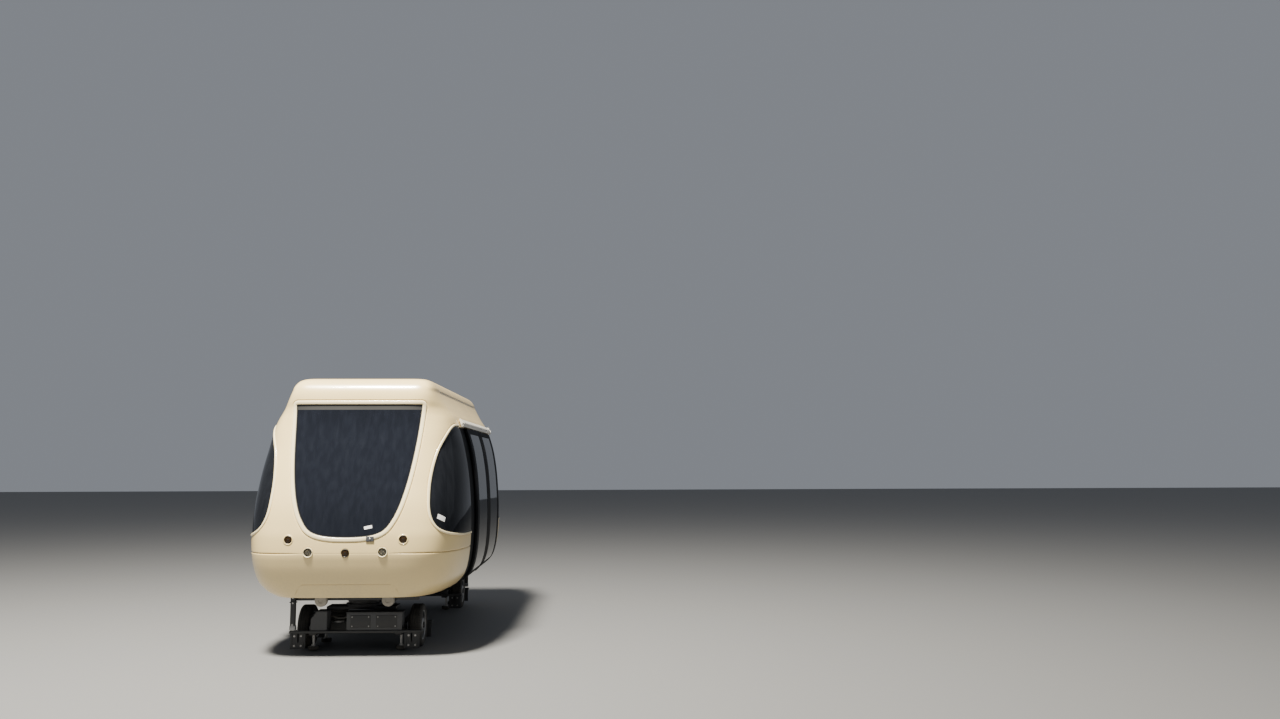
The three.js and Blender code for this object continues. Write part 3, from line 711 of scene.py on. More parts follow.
body = {
    "halfLength": 2.9,
    "wall": 0.06,
    "seamZ": 1.225,
    "eaveZ": 2.74,
    "maskY": 1.74,
    "gap": 0.0012,
    "gridStep": 0.021,
    "lowZ": 0.7001,
    "reach": 1.98,       # how far a runs: 1 is the nose's corner, and beyond it is the side
    "sideRate": 0.45,    # how fast the outline runs back along the side
    "columns": 244,
}
bodySections = np.array([
    # z, halfWidth, noseSetback, planPower, in millimetres
    [700, 1030, 180, 6],
    [760, 1145, 145, 6],
    [900, 1255, 80, 6],
    [1100, 1303, 20, 6],
    [1225, 1316, 0, 6],
    [1400, 1325, 9, 6],
    [1560, 1328, 40, 6],
    [1750, 1323, 92, 6],
    [2060, 1303, 215, 6],
    [2420, 1252, 368, 6],
    [2740, 1160, 500, 7],
    [2850, 1114, 530, 7],
    [2950, 1040, 552, 8],
    [3060, 961, 566, 11],
    [3160, 900, 592, 15],
    [3240, 860, 640, 18],
    [3295, 818, 710, 18],
    [3325, 748, 825, 16],
    [3340, 0, 2900, 16],
]) * np.array([mm, mm, mm, 1.0])


def steadySlopes(t, values):
    # Slopes at the knots of a curve that never overshoots its points: a weighted harmonic mean of the
    # slopes on both sides.
    h = np.diff(t)
    d = np.diff(values) / h
    slopes = np.zeros(len(t))
    w1, w2 = 2 * h[1:] + h[:-1], h[1:] + 2 * h[:-1]
    same = d[1:] * d[:-1] > 0
    with np.errstate(divide="ignore", invalid="ignore"):
        mean = (w1 + w2) / (w1 / d[:-1] + w2 / d[1:])
    slopes[1:-1] = np.where(same, mean, 0.0)
    slopes[0], slopes[-1] = d[0], d[-1]
    return slopes


def followCurve(t, knots, values, slopes):
    # Cubic through the knots with the given slopes.
    i = np.clip(np.searchsorted(knots, t, side="right") - 1, 0, len(knots) - 2)
    h = knots[i + 1] - knots[i]
    u = (t - knots[i]) / h
    a, b = values[i], values[i + 1]
    return ((2 * u**3 - 3 * u**2 + 1) * a + (u**3 - 2 * u**2 + u) * h * slopes[i]
            + (-2 * u**3 + 3 * u**2) * b + (u**3 - u**2) * h * slopes[i + 1])


bodyKnots = runAlong(bodySections[:, :3])
bodySlopes = [steadySlopes(bodyKnots, bodySections[:, k]) for k in range(4)]
fineT = np.linspace(0, bodyKnots[-1], 6000)
fineZ = followCurve(fineT, bodyKnots, bodySections[:, 0], bodySlopes[0])


def bodyColumn(t, k):
    return followCurve(t, bodyKnots, bodySections[:, k], bodySlopes[k])


def heightToT(z):
    return np.interp(z, fineZ, fineT)


def sectionAt(t, inset=0.0):
    # Half-width, half-length, height and plan power at t along the profile, moved in by inset.
    z, w, s, n = (bodyColumn(t, k) for k in range(4))
    if np.ndim(inset) or inset:
        e = 0.002
        z1, w1, s1 = (bodyColumn(t + e, k) for k in range(3))
        z0, w0, s0 = (bodyColumn(t - e, k) for k in range(3))
        sideX, sideZ = z1 - z0, w0 - w1
        noseX, noseZ = z1 - z0, s1 - s0
        sideL, noseL = np.hypot(sideX, sideZ) + 1e-12, np.hypot(noseX, noseZ) + 1e-12
        sideX, sideZ, noseX, noseZ = sideX / sideL, sideZ / sideL, noseX / noseL, noseZ / noseL
        under = sideZ < 0
        w = w - inset * np.where(under, 1, sideX)
        s = s + inset * np.where(under, 1, noseX)
        z = z - inset * np.maximum((sideZ + noseZ) / 2, 0)
    return w, body["halfLength"] - s, z, n


def planLevel(x, y, w, length, n):
    # |x/w|^n + |y/l|^n, which is 1 on the outline.
    return np.abs(x / w) ** n + np.abs(y / length) ** n


def noseForm(params, inset=0.0):
    # The -Y end: a runs across the nose (-1 to 1) and on along the sides, t up the profile. A square's
    # outline is pulled onto the superellipse |x/w|^n + |y/l|^n = 1.
    a, t = params[:, 0], params[:, 1]
    w, length, z, n = sectionAt(t, inset)
    squareX = np.clip(a, -1, 1)
    squareY = -1 + np.maximum(np.abs(a) - 1, 0) * body["sideRate"]
    pull = (np.abs(squareX) ** n + np.abs(squareY) ** n) ** (-1 / n)
    return np.stack([w * squareX * pull, length * squareY * pull, z], -1)


def sideForm(params, inset=0.0):
    # The +X side between the noses: y along the car and height z, straight as the doors are.
    y, z = params[:, 0], params[:, 1]
    return np.stack([bodyColumn(heightToT(z), 1) - inset, y, z], -1)


def sideWallForm(params, inset=0.0):
    # The +X side between the noses as the body's own bowed form: x = w (1 - |y/l|^n)^(1/n).
    y, z = params[:, 0], params[:, 1]
    w, length, zs, n = sectionAt(heightToT(z), inset)
    x = w * np.maximum(1 - np.abs(y / length) ** n, 0) ** (1 / n)
    return np.stack([x, y, zs], -1)


roofShare = 0.62   # part of c on each side that climbs from the eave to the top
roofLook = {"sideRows": 46, "topRows": 31, "columns": 61, "seamDepth": 0.4}


def topHeight(x, y):
    # Height of the roof's almost flat top: the level t whose section |x/w|^n + |y/l|^n = 1 passes
    # through (x, y), found by halving.
    low, high = np.full(len(x), bodyKnots[-2]), np.full(len(x), bodyKnots[-1] - 1e-4)
    for _ in range(24):
        middle = (low + high) / 2
        w, length, _, n = sectionAt(middle)
        within = planLevel(x, y, w, length, n) < 1
        low, high = np.where(within, middle, low), np.where(within, high, middle)
    return sectionAt(low)[2]


def roofForm(params, inset=0.0):
    # The roof between the noses: c runs over the car from one eave (-1) to the other (1), y along it.
    c, y = params[:, 0], params[:, 1]
    tEave, tLast = heightToT(body["eaveZ"]), bodyKnots[-2]
    t = tEave + (tLast - tEave) * np.clip((1 - np.abs(c)) / roofShare, 0, 1)
    w, length, z, n = sectionAt(t, inset)
    x = w * np.maximum(1 - np.abs(y / length) ** n, 0) ** (1 / n)
    flat = np.clip(np.abs(c) / (1 - roofShare), 0, 1)
    top = np.abs(c) < 1 - roofShare
    x = np.sign(c) * x * np.where(top, flat, 1)
    z[top] = topHeight(x[top], y[top]) - inset
    return np.stack([x, y, z], -1)


def evenRows(low, high, step):
    # Values of t between two heights, spaced evenly along the longer of the side's and the nose's profile.
    t = np.linspace(low, high, 2000)
    w, length, z, _ = sectionAt(t)
    moves = np.sqrt(np.diff(z)**2 + np.maximum(np.diff(w)**2, np.diff(length)**2))
    run = np.concatenate([[0], np.cumsum(moves)])
    return np.interp(np.linspace(0, run[-1], int(run[-1] / step) + 2), run, t)


# Windows on the nose.
screenLook = {"top": (768, 2992), "side": ((752, 2790), (716, 1925), (520, 1602)), "corner": 10,
              "chin": ((452, 1490), (410, 1409), (0, 1409)), "visorZ": 2.931}
cornerWindow = {"turn": math.radians(40), "topZ": 2740, "bottomZ": 1412}


def screenOutline():
    # Right half from the roof corner down the side and round the chin, then its mirror image.
    x, z = screenLook["top"]
    r = screenLook["corner"]
    corner = bezier((x - r, z), (x - r * 0.4, z), (x, z - r * 0.4), (x - 0.8, z - r), count=5)
    down = bezier((x - 0.8, z - r), *screenLook["side"], count=40)
    chin = bezier(screenLook["side"][-1], *screenLook["chin"], count=50)
    right = np.concatenate([corner, down[1:], chin[1:]])
    left = right[:-1][::-1] * np.array([-1, 1])
    return np.concatenate([right, left]) * mm


def cornerOutline():
    top, low = cornerWindow["topZ"], cornerWindow["bottomZ"]
    line = [bezier((-700, top), (-900, 2737), (-1020, 2640), (-1160, 2480)),
            bezier((-1160, 2480), (-1300, 2320), (-1420, 2060), (-1475, 1830))[1:],
            bezier((-1475, 1830), (-1510, 1690), (-1505, 1560), (-1400, 1500))[1:],
            bezier((-1400, 1500), (-1300, 1445), (-1100, 1430), (-810, 1417))[1:]]
    return np.concatenate([np.array([[900, top]]), *line, np.array([[900, low]])]) * mm


screenLine = screenOutline()
cornerLine = cornerOutline()


def cornerPlane(points, side):
    # (u, z) of points seen square to the turned face of one corner window.
    u = side * points[:, 0] * math.sin(cornerWindow["turn"]) + points[:, 1] * math.cos(cornerWindow["turn"])
    return np.stack([u, points[:, 2]], -1)


def screenGap(params):
    return outlineDistance(noseForm(params)[:, [0, 2]], screenLine)


def cornerGap(side):
    def gap(params):
        points = noseForm(params)
        d = outlineDistance(cornerPlane(points, side), cornerLine)
        return np.where(points[:, 0] * side > 0.3, d, 1.0)
    return gap


cornerRimShare = 0.6   # the corner windows' rims are narrower


def windowGap(params):
    corner = np.minimum(cornerGap(-1)(params), cornerGap(1)(params)) / cornerRimShare
    return np.minimum(screenGap(params), corner)


lampPlaces = [
    # x, z, radius, kind
    (-0.665, 1.385, 0.046, "marker"),
    (0.665, 1.385, 0.046, "marker"),
    (-0.430, 1.240, 0.060, "head"),
    (0.430, 1.240, 0.060, "head"),
    (0.0, 1.230, 0.046, "centre"),
]


def lampGap(params, kinds=("marker", "head", "centre")):
    points = noseForm(params)
    d = [np.hypot(points[:, 0] - x, points[:, 2] - z) - r for x, z, r, kind in lampPlaces if kind in kinds]
    return np.min(d, axis=0)


hatchLine = np.array([(-0.64, 0.69), (-0.545, 0.845), (-0.515, 0.863),
                      (0.515, 0.863), (0.545, 0.845), (0.64, 0.69)])


def hatchGap(params):
    # Distance to the tow hatch's joint, an open line in (x, z).
    points = noseForm(params)[:, [0, 2]]
    best = np.full(len(points), 9.0)
    for a, b in zip(hatchLine[:-1], hatchLine[1:]):
        t = np.clip((points - a) @ (b - a) / ((b - a) @ (b - a)), 0, 1)
        best = np.minimum(best, np.linalg.norm(points - a - t[:, None] * (b - a), axis=1))
    return best


def rearGap(params):
    return -body["maskY"] - body["gap"] - noseForm(params)[:, 1]


rimSteps = np.array([0, 2, 5, 10, 18, 34, 42, 48, 52, 55, 58, 63]) * mm
rimLift = np.array([-4.0, 1.0, 5.0, 8.0, 9.5, 10.0, 8.8, 6.0, 0.5, -6.5, -5.5, 0.0]) * mm
rimHighlightStep = 8   # the rim's painted highlight, brighter paint for sunlight on the raised bead, ends at this step
lampSteps = np.array([0, 2, 6, 11, 15]) * mm
lampLift = np.array([-7.0, -3.0, -1.2, -0.3, 0.0]) * mm
markerLift = np.array([-3.0, 5.0, 6.5, 5.0, 0.0]) * mm
seamSteps = np.array([0, 3.5, 8, 13]) * mm
seamLift = np.array([-13.0, -5.5, -1.2, 0.0]) * mm
seamFade = {"from": 0.5, "over": 0.3, "least": 0.08}
hatchSteps = np.array([0, 2.5, 6]) * mm
hatchLift = np.array([-9.0, -4.0, 0.0]) * mm
edgeSteps = np.array([0, 1.5, 4]) * mm
edgeLift = np.array([-3.0, -0.8, 0.0]) * mm
gutter = {"lowZ": 3.183, "highZ": 3.195, "proud": 0.007, "fadeFrom": -2.35, "fadeTo": -2.0}


def gutterLift(points):
    # The roof's upper part stands a little proud of the lower, except on the nose.
    rise = np.clip((points[:, 2] - gutter["lowZ"]) / (gutter["highZ"] - gutter["lowZ"]), 0, 1)
    fade = np.clip((points[:, 1] - gutter["fadeFrom"]) / (gutter["fadeTo"] - gutter["fadeFrom"]), 0, 1)
    return rise * fade * gutter["proud"]


def noseLift(params, seamSign):
    # How far the skin stands out of its plain form: window rims, lamp dishes, and rounded edges at the
    # joints. The seam's rounding fades out towards the middle of the nose, where the two panels meet
    # flush.
    points = noseForm(params)
    seam = np.abs(points[:, 2] - (body["seamZ"] + seamSign * body["gap"] / 2))
    fade = np.clip((np.abs(points[:, 0]) - seamFade["from"]) / seamFade["over"], seamFade["least"], 1)
    lift = np.interp(windowGap(params), rimSteps, rimLift)
    lift += np.interp(lampGap(params, ("head", "centre")), lampSteps, lampLift)
    lift += np.interp(lampGap(params, ("marker",)), lampSteps, markerLift)
    lift += np.interp(seam, seamSteps, seamLift) * fade
    lift += np.interp(rearGap(params), edgeSteps, edgeLift)
    lift += np.interp(hatchGap(params), hatchSteps, hatchLift)
    return lift + gutterLift(points)


def formNormals(form, params):
    e = 0.0015
    du = form(params + [e, 0]) - form(params - [e, 0])
    dv = form(params + [0, e]) - form(params - [0, e])
    return unit(np.cross(du, dv))


def noseGrid(columns, lowZ, highT, step):
    across = np.linspace(-body["reach"], body["reach"], columns)
    return gridOf(across, evenRows(heightToT(lowZ), highT, step))


def noseSkin(lowZ, highT, seamSign, withWindows):
    seamGap = lambda p: seamSign * (noseForm(p)[:, 2] - body["seamZ"] - seamSign * body["gap"] / 2)
    params, faces = noseGrid(body["columns"], lowZ, highT, body["gridStep"])
    params, faces = cutTo(params, faces, rearGap, edgeSteps[1:])
    if withWindows:
        params, faces = cutTo(params, faces, windowGap, rimSteps[1:])
    params, faces = cutTo(params, faces, lampGap, lampSteps[1:])
    params, faces = cutAlong(params, faces, seamGap, seamSteps[1:])
    if not withWindows:
        params, faces = cutAlong(params, faces, hatchGap, hatchSteps[1:])
    return params, faces


def skinPiece(name, params, faces, form, lift, wall, mats, faceMats, turn):
    # A skin lifted off its form and closed to a wall. `faceMats` gives each outer face its material, and
    # the inner face and the edges take the last one.
    outer = form(params)
    out = formNormals(form, params)
    faces = orientOut(outer, faces, bodyMiddle)
    if (out * (outer - np.asarray(bodyMiddle))).sum() < 0:
        out = -out
    outer = outer + out * lift[:, None]
    inner = form(params, wall)
    verts, every, group, normals = shell(outer, inner, faces)
    chosen = np.full(len(every), len(mats) - 1)
    chosen[group == 0] = faceMats(params[faces].mean(1))
    if turn:
        verts, normals = verts * halfTurn, normals * halfTurn
    return addMesh(name, verts, every, mats, chosen, normals)


# Faces near a window take the rim's painted highlight, the others the body colour.
rimHighlightOrBody = lambda p: np.where(windowGap(p) < rimSteps[rimHighlightStep], 1, 0)
oneMaterial = lambda p: np.zeros(len(p), int)
for end, sign in ends:
    params, faces = noseSkin(body["seamZ"] + body["gap"] / 2, bodyKnots[-2] + 0.42, 1, True)
    mask = skinPiece(f"noseSkin_{end}", params, faces, noseForm, noseLift(params, 1), body["wall"],
                     ["bodyPaint", "windowRimHighlight", "liningPale"], rimHighlightOrBody, sign > 0)
    place(mask, "car_body", "body_paint", f"nose_mask_{end}")

    params, faces = noseSkin(body["lowZ"], heightToT(body["seamZ"] - body["gap"] / 2), -1, False)
    bumper = skinPiece(f"bumperSkin_{end}", params, faces, noseForm, noseLift(params, -1), body["wall"],
                       ["bodyPaint", "liningPale"], oneMaterial, sign > 0)
    place(bumper, "car_body", "body_paint", f"bumper_{end}")
print("nose skins made")


roofSeams = (-0.58, 0.58)   # joints between the roof's three panels


def roofSkin():
    flat, look = 1 - roofShare, roofLook
    middle = np.linspace(-flat, flat, look["topRows"])[1:-1]
    left, right = np.linspace(-1, -flat, look["sideRows"]), np.linspace(flat, 1, look["sideRows"])
    y = np.linspace(-1, 1, look["columns"]) * (body["maskY"] - body["gap"])
    return gridOf(np.concatenate([left, middle, right]), y)


def roofLift(params):
    # Gutter step, plus a shallow groove at each joint.
    grooves = [np.interp(np.abs(params[:, 1] - seamY), seamSteps, seamLift) for seamY in roofSeams]
    return gutterLift(roofForm(params)) + np.sum(grooves, axis=0) * roofLook["seamDepth"]


params, faces = roofSkin()
params, faces = cutAlong(params, faces, lambda p: roofForm(p)[:, 2], (gutter["lowZ"], gutter["highZ"]))
for seamY in roofSeams:
    for step in seamSteps[1:3]:
        params, faces = cutAlong(params, faces, lambda p: p[:, 1], (seamY - step, seamY + step))
    params, faces = cutAlong(params, faces, lambda p: p[:, 1], (seamY,))
roofPiece = skinPiece("roofSkin", params, faces, roofForm, roofLift(params), body["wall"],
                      ["bodyPaint", "liningPale"], oneMaterial, False)
place(roofPiece, "car_body", "body_paint", "roof")
print("roof made")


# Glass.

glassLook = {"recess": 0.004, "thick": 0.010, "edge": 0.003, "frit": 0.012, "columns": 260, "lowZ": 1.38,
             "rowStep": 0.024}


def glassPanel(name, gap, turn, node, extraCut=None, visor=False):
    # A pane that follows the nose's form inside one window's outline, with a printed black border and,
    # where asked for, a grey band across its top.
    g = glassLook
    visorT = heightToT(screenLook["visorZ"])
    edges = [lambda p: -gap(p) - g["edge"]]
    if extraCut is not None:
        edges.append(extraCut)
    params, faces = noseGrid(g["columns"], g["lowZ"], bodyKnots[-2], g["rowStep"])
    params, faces = cutTo(params, faces, edges[0], (g["frit"],))
    if visor:
        params, faces = cutAlong(params, faces, lambda p: p[:, 1], (visorT,))
    for edge in edges[1:]:
        params, faces = cutTo(params, faces, edge, (g["frit"],))
    outer = noseForm(params, g["recess"])
    inner = noseForm(params, g["recess"] + g["thick"])
    faces = orientOut(outer, faces, bodyMiddle)
    verts, every, group, normals = shell(outer, inner, faces)
    middles = params[faces].mean(1)
    skin = (np.min([edge(middles) for edge in edges], axis=0) < g["frit"]).astype(int)
    mats = ["doorTint", "fritBlack"]
    if visor:
        skin[middles[:, 1] > visorT] = 2
        mats = ["tintedGlass", "fritBlack", "visorGrey"]
    chosen = np.ones(len(every), int)
    chosen[group == 0] = skin
    chosen[group == 1] = skin
    if turn:
        verts, normals = verts * halfTurn, normals * halfTurn
    return place(addMesh(name, verts, every, mats, chosen, normals), "car_body", "window_glass", node)


for end, sign in ends:
    glassPanel(f"screenGlass_{end}", screenGap, sign > 0, f"windscreen_{end}", visor=True)
    for side, xSign in sides:
        local = xSign if sign < 0 else -xSign   # the rear end is the front end turned round
        glassPanel(f"cornerGlass_{end}_{side}", cornerGap(local), sign > 0, f"side_window_{end}_{side}",
                   rearGap)
print("glass made")


def surfaceAlong(outline, side=0):
    # Points and normals of the nose's form behind an outline, seen from straight ahead for side 0 and
    # otherwise square to a corner window. The points are found by halving along the line of sight.
    c, s = math.cos(cornerWindow["turn"]), math.sin(cornerWindow["turn"])
    direction = np.array([side * c, -s, 0.0]) if side else np.array([0.0, -1.0, 0.0])
    u, z = outline[:, 0], outline[:, 1]
    base = np.stack([side * u * s, u * c, z] if side else [u, np.zeros(len(u)), z], -1)
    near, far = np.full(len(base), 0.4), np.full(len(base), 4.5)
    w, length, _, n = sectionAt(heightToT(z))
    for _ in range(40):
        middle = (near + far) / 2
        p = base + direction * middle[:, None]
        inside = planLevel(p[:, 0], p[:, 1], w, length, n) < 1
        near, far = np.where(inside, middle, near), np.where(inside, far, middle)
    points = base + direction * near[:, None]
    x, y = points[:, 0], points[:, 1]
    lift = 0.01
    w1, l1, _, n1 = sectionAt(heightToT(z + lift))
    rise = (planLevel(x, y, w1, l1, n1) - planLevel(x, y, w, length, n)) / lift / n
    grad = np.stack([np.sign(x) * np.abs(x / w) ** (n - 1) / w,
                     np.sign(y) * np.abs(y / length) ** (n - 1) / length, rise], -1)
    return points, unit(grad)


sealProfile = np.array([(-7, -7), (-7, 0.5), (-4.5, 2.6), (0, 3.2), (4.5, 2.6), (7, 0.5), (7, -7)]) * mm


def evenPath(points, step, closed):
    # The same path with points an even step apart.
    ring = np.concatenate([points, points[:1]]) if closed else points
    run = runAlong(ring)
    at = np.linspace(0, run[-1], max(int(run[-1] / step), 4) + 1)
    at = at[:-1] if closed else at
    return np.stack([np.interp(at, run, ring[:, k]) for k in range(ring.shape[1])], -1)


sealLook = {"step": 0.02, "topFrom": -0.70, "lowFrom": -0.81, "to": 0.2, "lowZ": 1.4135, "stop": 0.004}


def levelLine(u, z, count):
    return np.stack([np.linspace(u, sealLook["to"], count), np.full(count, z)], -1)


def sealsPart():
    # Rubber all round the windscreen, and round each corner window as far as the door surround.
    s = sealLook
    points, normals = surfaceAlong(evenPath(screenLine, s["step"], True))
    parts = [sweep(points, sealProfile, closed=True, normals=normals)]
    top = levelLine(s["topFrom"], cornerWindow["topZ"] * mm, 46)[::-1]
    low = levelLine(s["lowFrom"], s["lowZ"], 50)
    curved = evenPath(cornerLine[1:-1], s["step"], False)
    whole = evenPath(np.concatenate([top[:-1], curved, low[1:]]), s["step"], False)
    for side, xSign in sides:
        points, normals = surfaceAlong(whole, xSign)
        keep = points[:, 1] < -body["maskY"] - s["stop"]
        parts.append(sweep(points[keep], sealProfile, normals=normals[keep]))
    return joined(parts)


verts, faces = sealsPart()
for end, sign in ends:
    turned = verts if sign < 0 else verts * halfTurn
    seals = addMesh(f"windowSeals_{end}", turned, faces, "sealRubber", sharp=50)
    place(seals, "car_body", "window_glass")
print("seals made")


# Sides: door surround, leaves and their glass.

portalLook = {"inset": 0.014, "bottomZ": 0.7, "sillTopZ": 0.8, "headZ": 2.66, "openingHalf": 1.29,
              "corner": 0.05, "edge": 0.004}
leafLook = {"meetGap": 0.006, "half": 1.36, "bottomZ": 0.756, "topZ": 2.735, "inner": -0.003,
            "outer": 0.027, "stile": 0.19, "sill": 0.095, "head": 0.07, "corner": 0.045, "edge": 0.006}
paneLook = {"inner": 0.012, "outer": 0.0235, "play": 0.002, "edge": 0.0015}
edgeShares = np.array([0, 0.15, 0.5, 1.0])   # of a panel's edge radius, inwards from its edge
dropShares = np.array([1.0, 0.5, 0.13, 0.0])


def boxGap(x0, x1, z0, z1, radius):
    # Distance to a rounded rectangle in the params' plane, negative inside.
    centre = np.array([(x0 + x1) / 2, (z0 + z1) / 2])
    half = np.array([(x1 - x0) / 2, (z1 - z0) / 2]) - radius

    def gap(params):
        q = np.abs(params - centre) - half
        return np.hypot(np.maximum(q[:, 0], 0), np.maximum(q[:, 1], 0)) + np.minimum(q.max(1), 0) - radius
    return gap


def flatGrid(x0, x1, z0, z1, stepX, stepZ):
    xs = np.linspace(x0, x1, max(int((x1 - x0) / stepX), 2) + 1)
    zs = np.linspace(z0, z1, max(int((z1 - z0) / stepZ), 2) + 1)
    return gridOf(xs, zs)


def panelShell(form, outline, hole, outerInset, innerInset, edge, bounds, step):
    # A panel on a side form: cut to an outline, with a hole or none, and with rounded edges on its
    # outer face.
    gaps = [lambda p: -outline(p)] + ([hole] if hole else [])
    nearest = lambda p: np.min([gap(p) for gap in gaps], axis=0)
    params, faces = flatGrid(*bounds, *step)
    for gap in gaps:
        params, faces = cutTo(params, faces, gap)
    params, faces = cutAlong(params, faces, nearest, edgeShares[1:] * edge, snap=0.0002)
    drop = np.interp(nearest(params), edgeShares * edge, dropShares * edge)
    outer = form(params, outerInset + drop)
    inner = form(params, innerInset)
    return shell(outer, inner, orientOut(outer, faces, bodyMiddle))


def shellObject(name, part, mats, turnX=False, flipY=False):
    verts, every, group, normals = part
    scale = np.array([-1.0 if turnX else 1.0, -1.0 if flipY else 1.0, 1.0])
    verts = verts * scale
    normals = (normals * scale).reshape(-1, 3, 3)
    if scale.prod() < 0:
        every = every[:, ::-1]
        normals = normals[:, ::-1]
    return addMesh(name, verts, every, mats, None, normals.reshape(-1, 3))


def doorPortal():
    p, reach = portalLook, body["maskY"]
    half = reach - body["gap"]
    outline = boxGap(-half, half, p["bottomZ"] + 0.001, body["eaveZ"] - 0.0005, 0.002)
    hole = boxGap(-p["openingHalf"], p["openingHalf"], p["sillTopZ"], p["headZ"], p["corner"])
    return panelShell(sideWallForm, outline, hole, p["inset"], body["wall"], p["edge"],
                      (-reach, reach, p["bottomZ"], body["eaveZ"]), (0.05, 0.03))


leafHole = (leafLook["meetGap"] / 2 + leafLook["stile"], leafLook["half"] - leafLook["stile"],
            leafLook["bottomZ"] + leafLook["sill"], leafLook["topZ"] - leafLook["head"])


def doorLeaf():
    reach = (leafLook["meetGap"] / 2, leafLook["half"], leafLook["bottomZ"], leafLook["topZ"])
    return panelShell(sideForm, boxGap(*reach, 0.004), boxGap(*leafHole, leafLook["corner"]),
                      -leafLook["outer"], -leafLook["inner"], leafLook["edge"], reach, (0.04, 0.03))


def doorPane():
    p = paneLook["play"]
    reach = (leafHole[0] + p, leafHole[1] - p, leafHole[2] + p, leafHole[3] - p)
    return panelShell(sideForm, boxGap(*reach, leafLook["corner"] - p), None, -paneLook["outer"],
                      -paneLook["inner"], paneLook["edge"], reach, (0.05, 0.03))


portalPart, leafPart, panePart = doorPortal(), doorLeaf(), doorPane()
for side, xSign in sides:
    surround = shellObject(f"doorSurround_{side}", portalPart, "blackFrame", turnX=xSign < 0)
    place(surround, "car_body", "door_frame", f"door_portal_{side}")
    for end, ySign in ends:
        leafPiece = shellObject(f"leafFrame_{end}_{side}", leafPart, "blackFrame", xSign < 0, ySign < 0)
        place(leafPiece, f"door_{end}_{side}", "door_frame", f"door_leaf_{end}_{side}")
        pane = shellObject(f"leafPane_{end}_{side}", panePart, "doorTint", xSign < 0, ySign < 0)
        place(pane, f"door_{end}_{side}", "window_glass", f"door_glass_{end}_{side}")
print("doors made")


# Lamps on each nose, with the plate behind them that carries them.
lampLook = {"bezelProud": 0.010, "depth": 0.035, "plateHalf": 0.64, "plateY": (-2.82, -2.79),
            "plateZ": (1.215, 1.405)}


def shares(r, *points):
    # A profile whose radii are given as shares of r.
    return [(r * share, h) for share, h in points]


def headlamp(r):
    d, p = lampLook["depth"], lampLook["bezelProud"]
    bezel = revolve(shares(r, (0.985, -d), (0.985, p * 0.5), (0.95, p), (0.87, p), (0.78, 0), (0.78, -d)))
    ring = revolve(shares(r, (0.80, -d), (0.80, -0.001), (0.78, 0.001), (0.74, -0.003), (0.74, -d)))
    bowl = revolve(shares(r, (0.74, -0.006), (0.66, -0.018), (0.45, -0.028), (0.2, -0.033), (0.2, -0.036),
                          (0.47, -0.031), (0.70, -0.021), (0.74, -0.012)))
    bulb = lathe(shares(r, (0, -0.036), (0.2, -0.036), (0.19, -0.022), (0.12, -0.016), (0, -0.014)), 20)
    cup = lathe(shares(r, (0, -0.026), (0.09, -0.026), (0.11, -0.012), (0.10, -0.009), (0, -0.008)), 16)
    lens = lathe(shares(r, (0, -0.006), (0.70, -0.006), (0.73, -0.004), (0.6, -0.001), (0.35, 0.002),
                        (0, 0.003)))
    back = lathe(shares(r, (0, -0.060), (0.6, -0.060), (0.95, -d - 0.004), (0.95, -d), (0, -d)))
    return [("bezelPale", bezel), ("blackSatin", ring), ("lampMirror", bowl), ("lampBezel", bulb),
            ("blackSatin", cup), ("clearLens", lens), ("blackSatin", back)]


def markerLamp(r):
    d = lampLook["depth"]
    ring = revolve(shares(r, (0.99, -d), (0.99, 0.002), (0.93, 0.004), (0.86, 0.001), (0.84, -d)))
    lens = lathe(shares(r, (0, -d), (0.83, -d), (0.83, -0.004), (0.76, 0.0), (0.5, 0.003), (0, 0.0045)))
    core = lathe(shares(r, (0, 0.0052), (0.16, 0.0052), (0.22, 0.0035), (0.2, 0.001), (0, 0.001)), 20)
    return [("blackSatin", ring), ("redLens", lens), ("blackSatin", core)]


def lampSet():
    # The lamps point half way between the nose's own normal and straight ahead.
    look = lampLook
    points, normals = surfaceAlong(np.array([(x, z) for x, z, _, _ in lampPlaces]))
    parts = []
    for (_, _, r, kind), point, normal in zip(lampPlaces, points, normals):
        made = headlamp(r) if kind == "head" else markerLamp(r)
        aim = normal * 0.5 + np.array([0, -0.5, 0])
        parts += [(material, facing(part, point, aim)) for material, part in made]
    low, high = zip((-look["plateHalf"], look["plateHalf"]), look["plateY"], look["plateZ"])
    return parts + [("blackSatin", roundedBox(low, high, 0.004))]


for end, sign in ends:
    place(assemble(f"lamps_{end}", lampSet(), turn=sign > 0), "car_body", "lamp_lens", f"lamp_bar_{end}")
print("lamps made")


# Small things on the noses: the catch on each windscreen's rim, and two blank stickers on the front
# end's glass.
catchLook = {"x": 0.283, "z": 1.392, "half": (0.046, 0.029), "thick": 0.014}
stickers = [
    # name, side (0 windscreen), u, z, half width, half height, turn in degrees
    ("stickerScreen", 0, 0.252, 1.526, 0.046, 0.017, 12),
    ("stickerCorner", 1, -1.365, 1.624, 0.056, 0.029, -24),
]


def surfacePatch(side, u, z, halfU, halfZ, degrees, lift, thick):
    # A thin sheet that lies on the nose's form, worked out on a grid seen square to the window.
    grid, faces = gridOf(np.linspace(-halfU, halfU, 9), np.linspace(-halfZ, halfZ, 7))
    c, s = math.cos(math.radians(degrees)), math.sin(math.radians(degrees))
    points, normals = surfaceAlong(grid @ np.array([[c, s], [-s, c]]) + [u, z], side)
    verts, every, _, _ = shell(points + normals * (lift + thick), points + normals * lift, faces)
    return verts, outwards(verts, every)


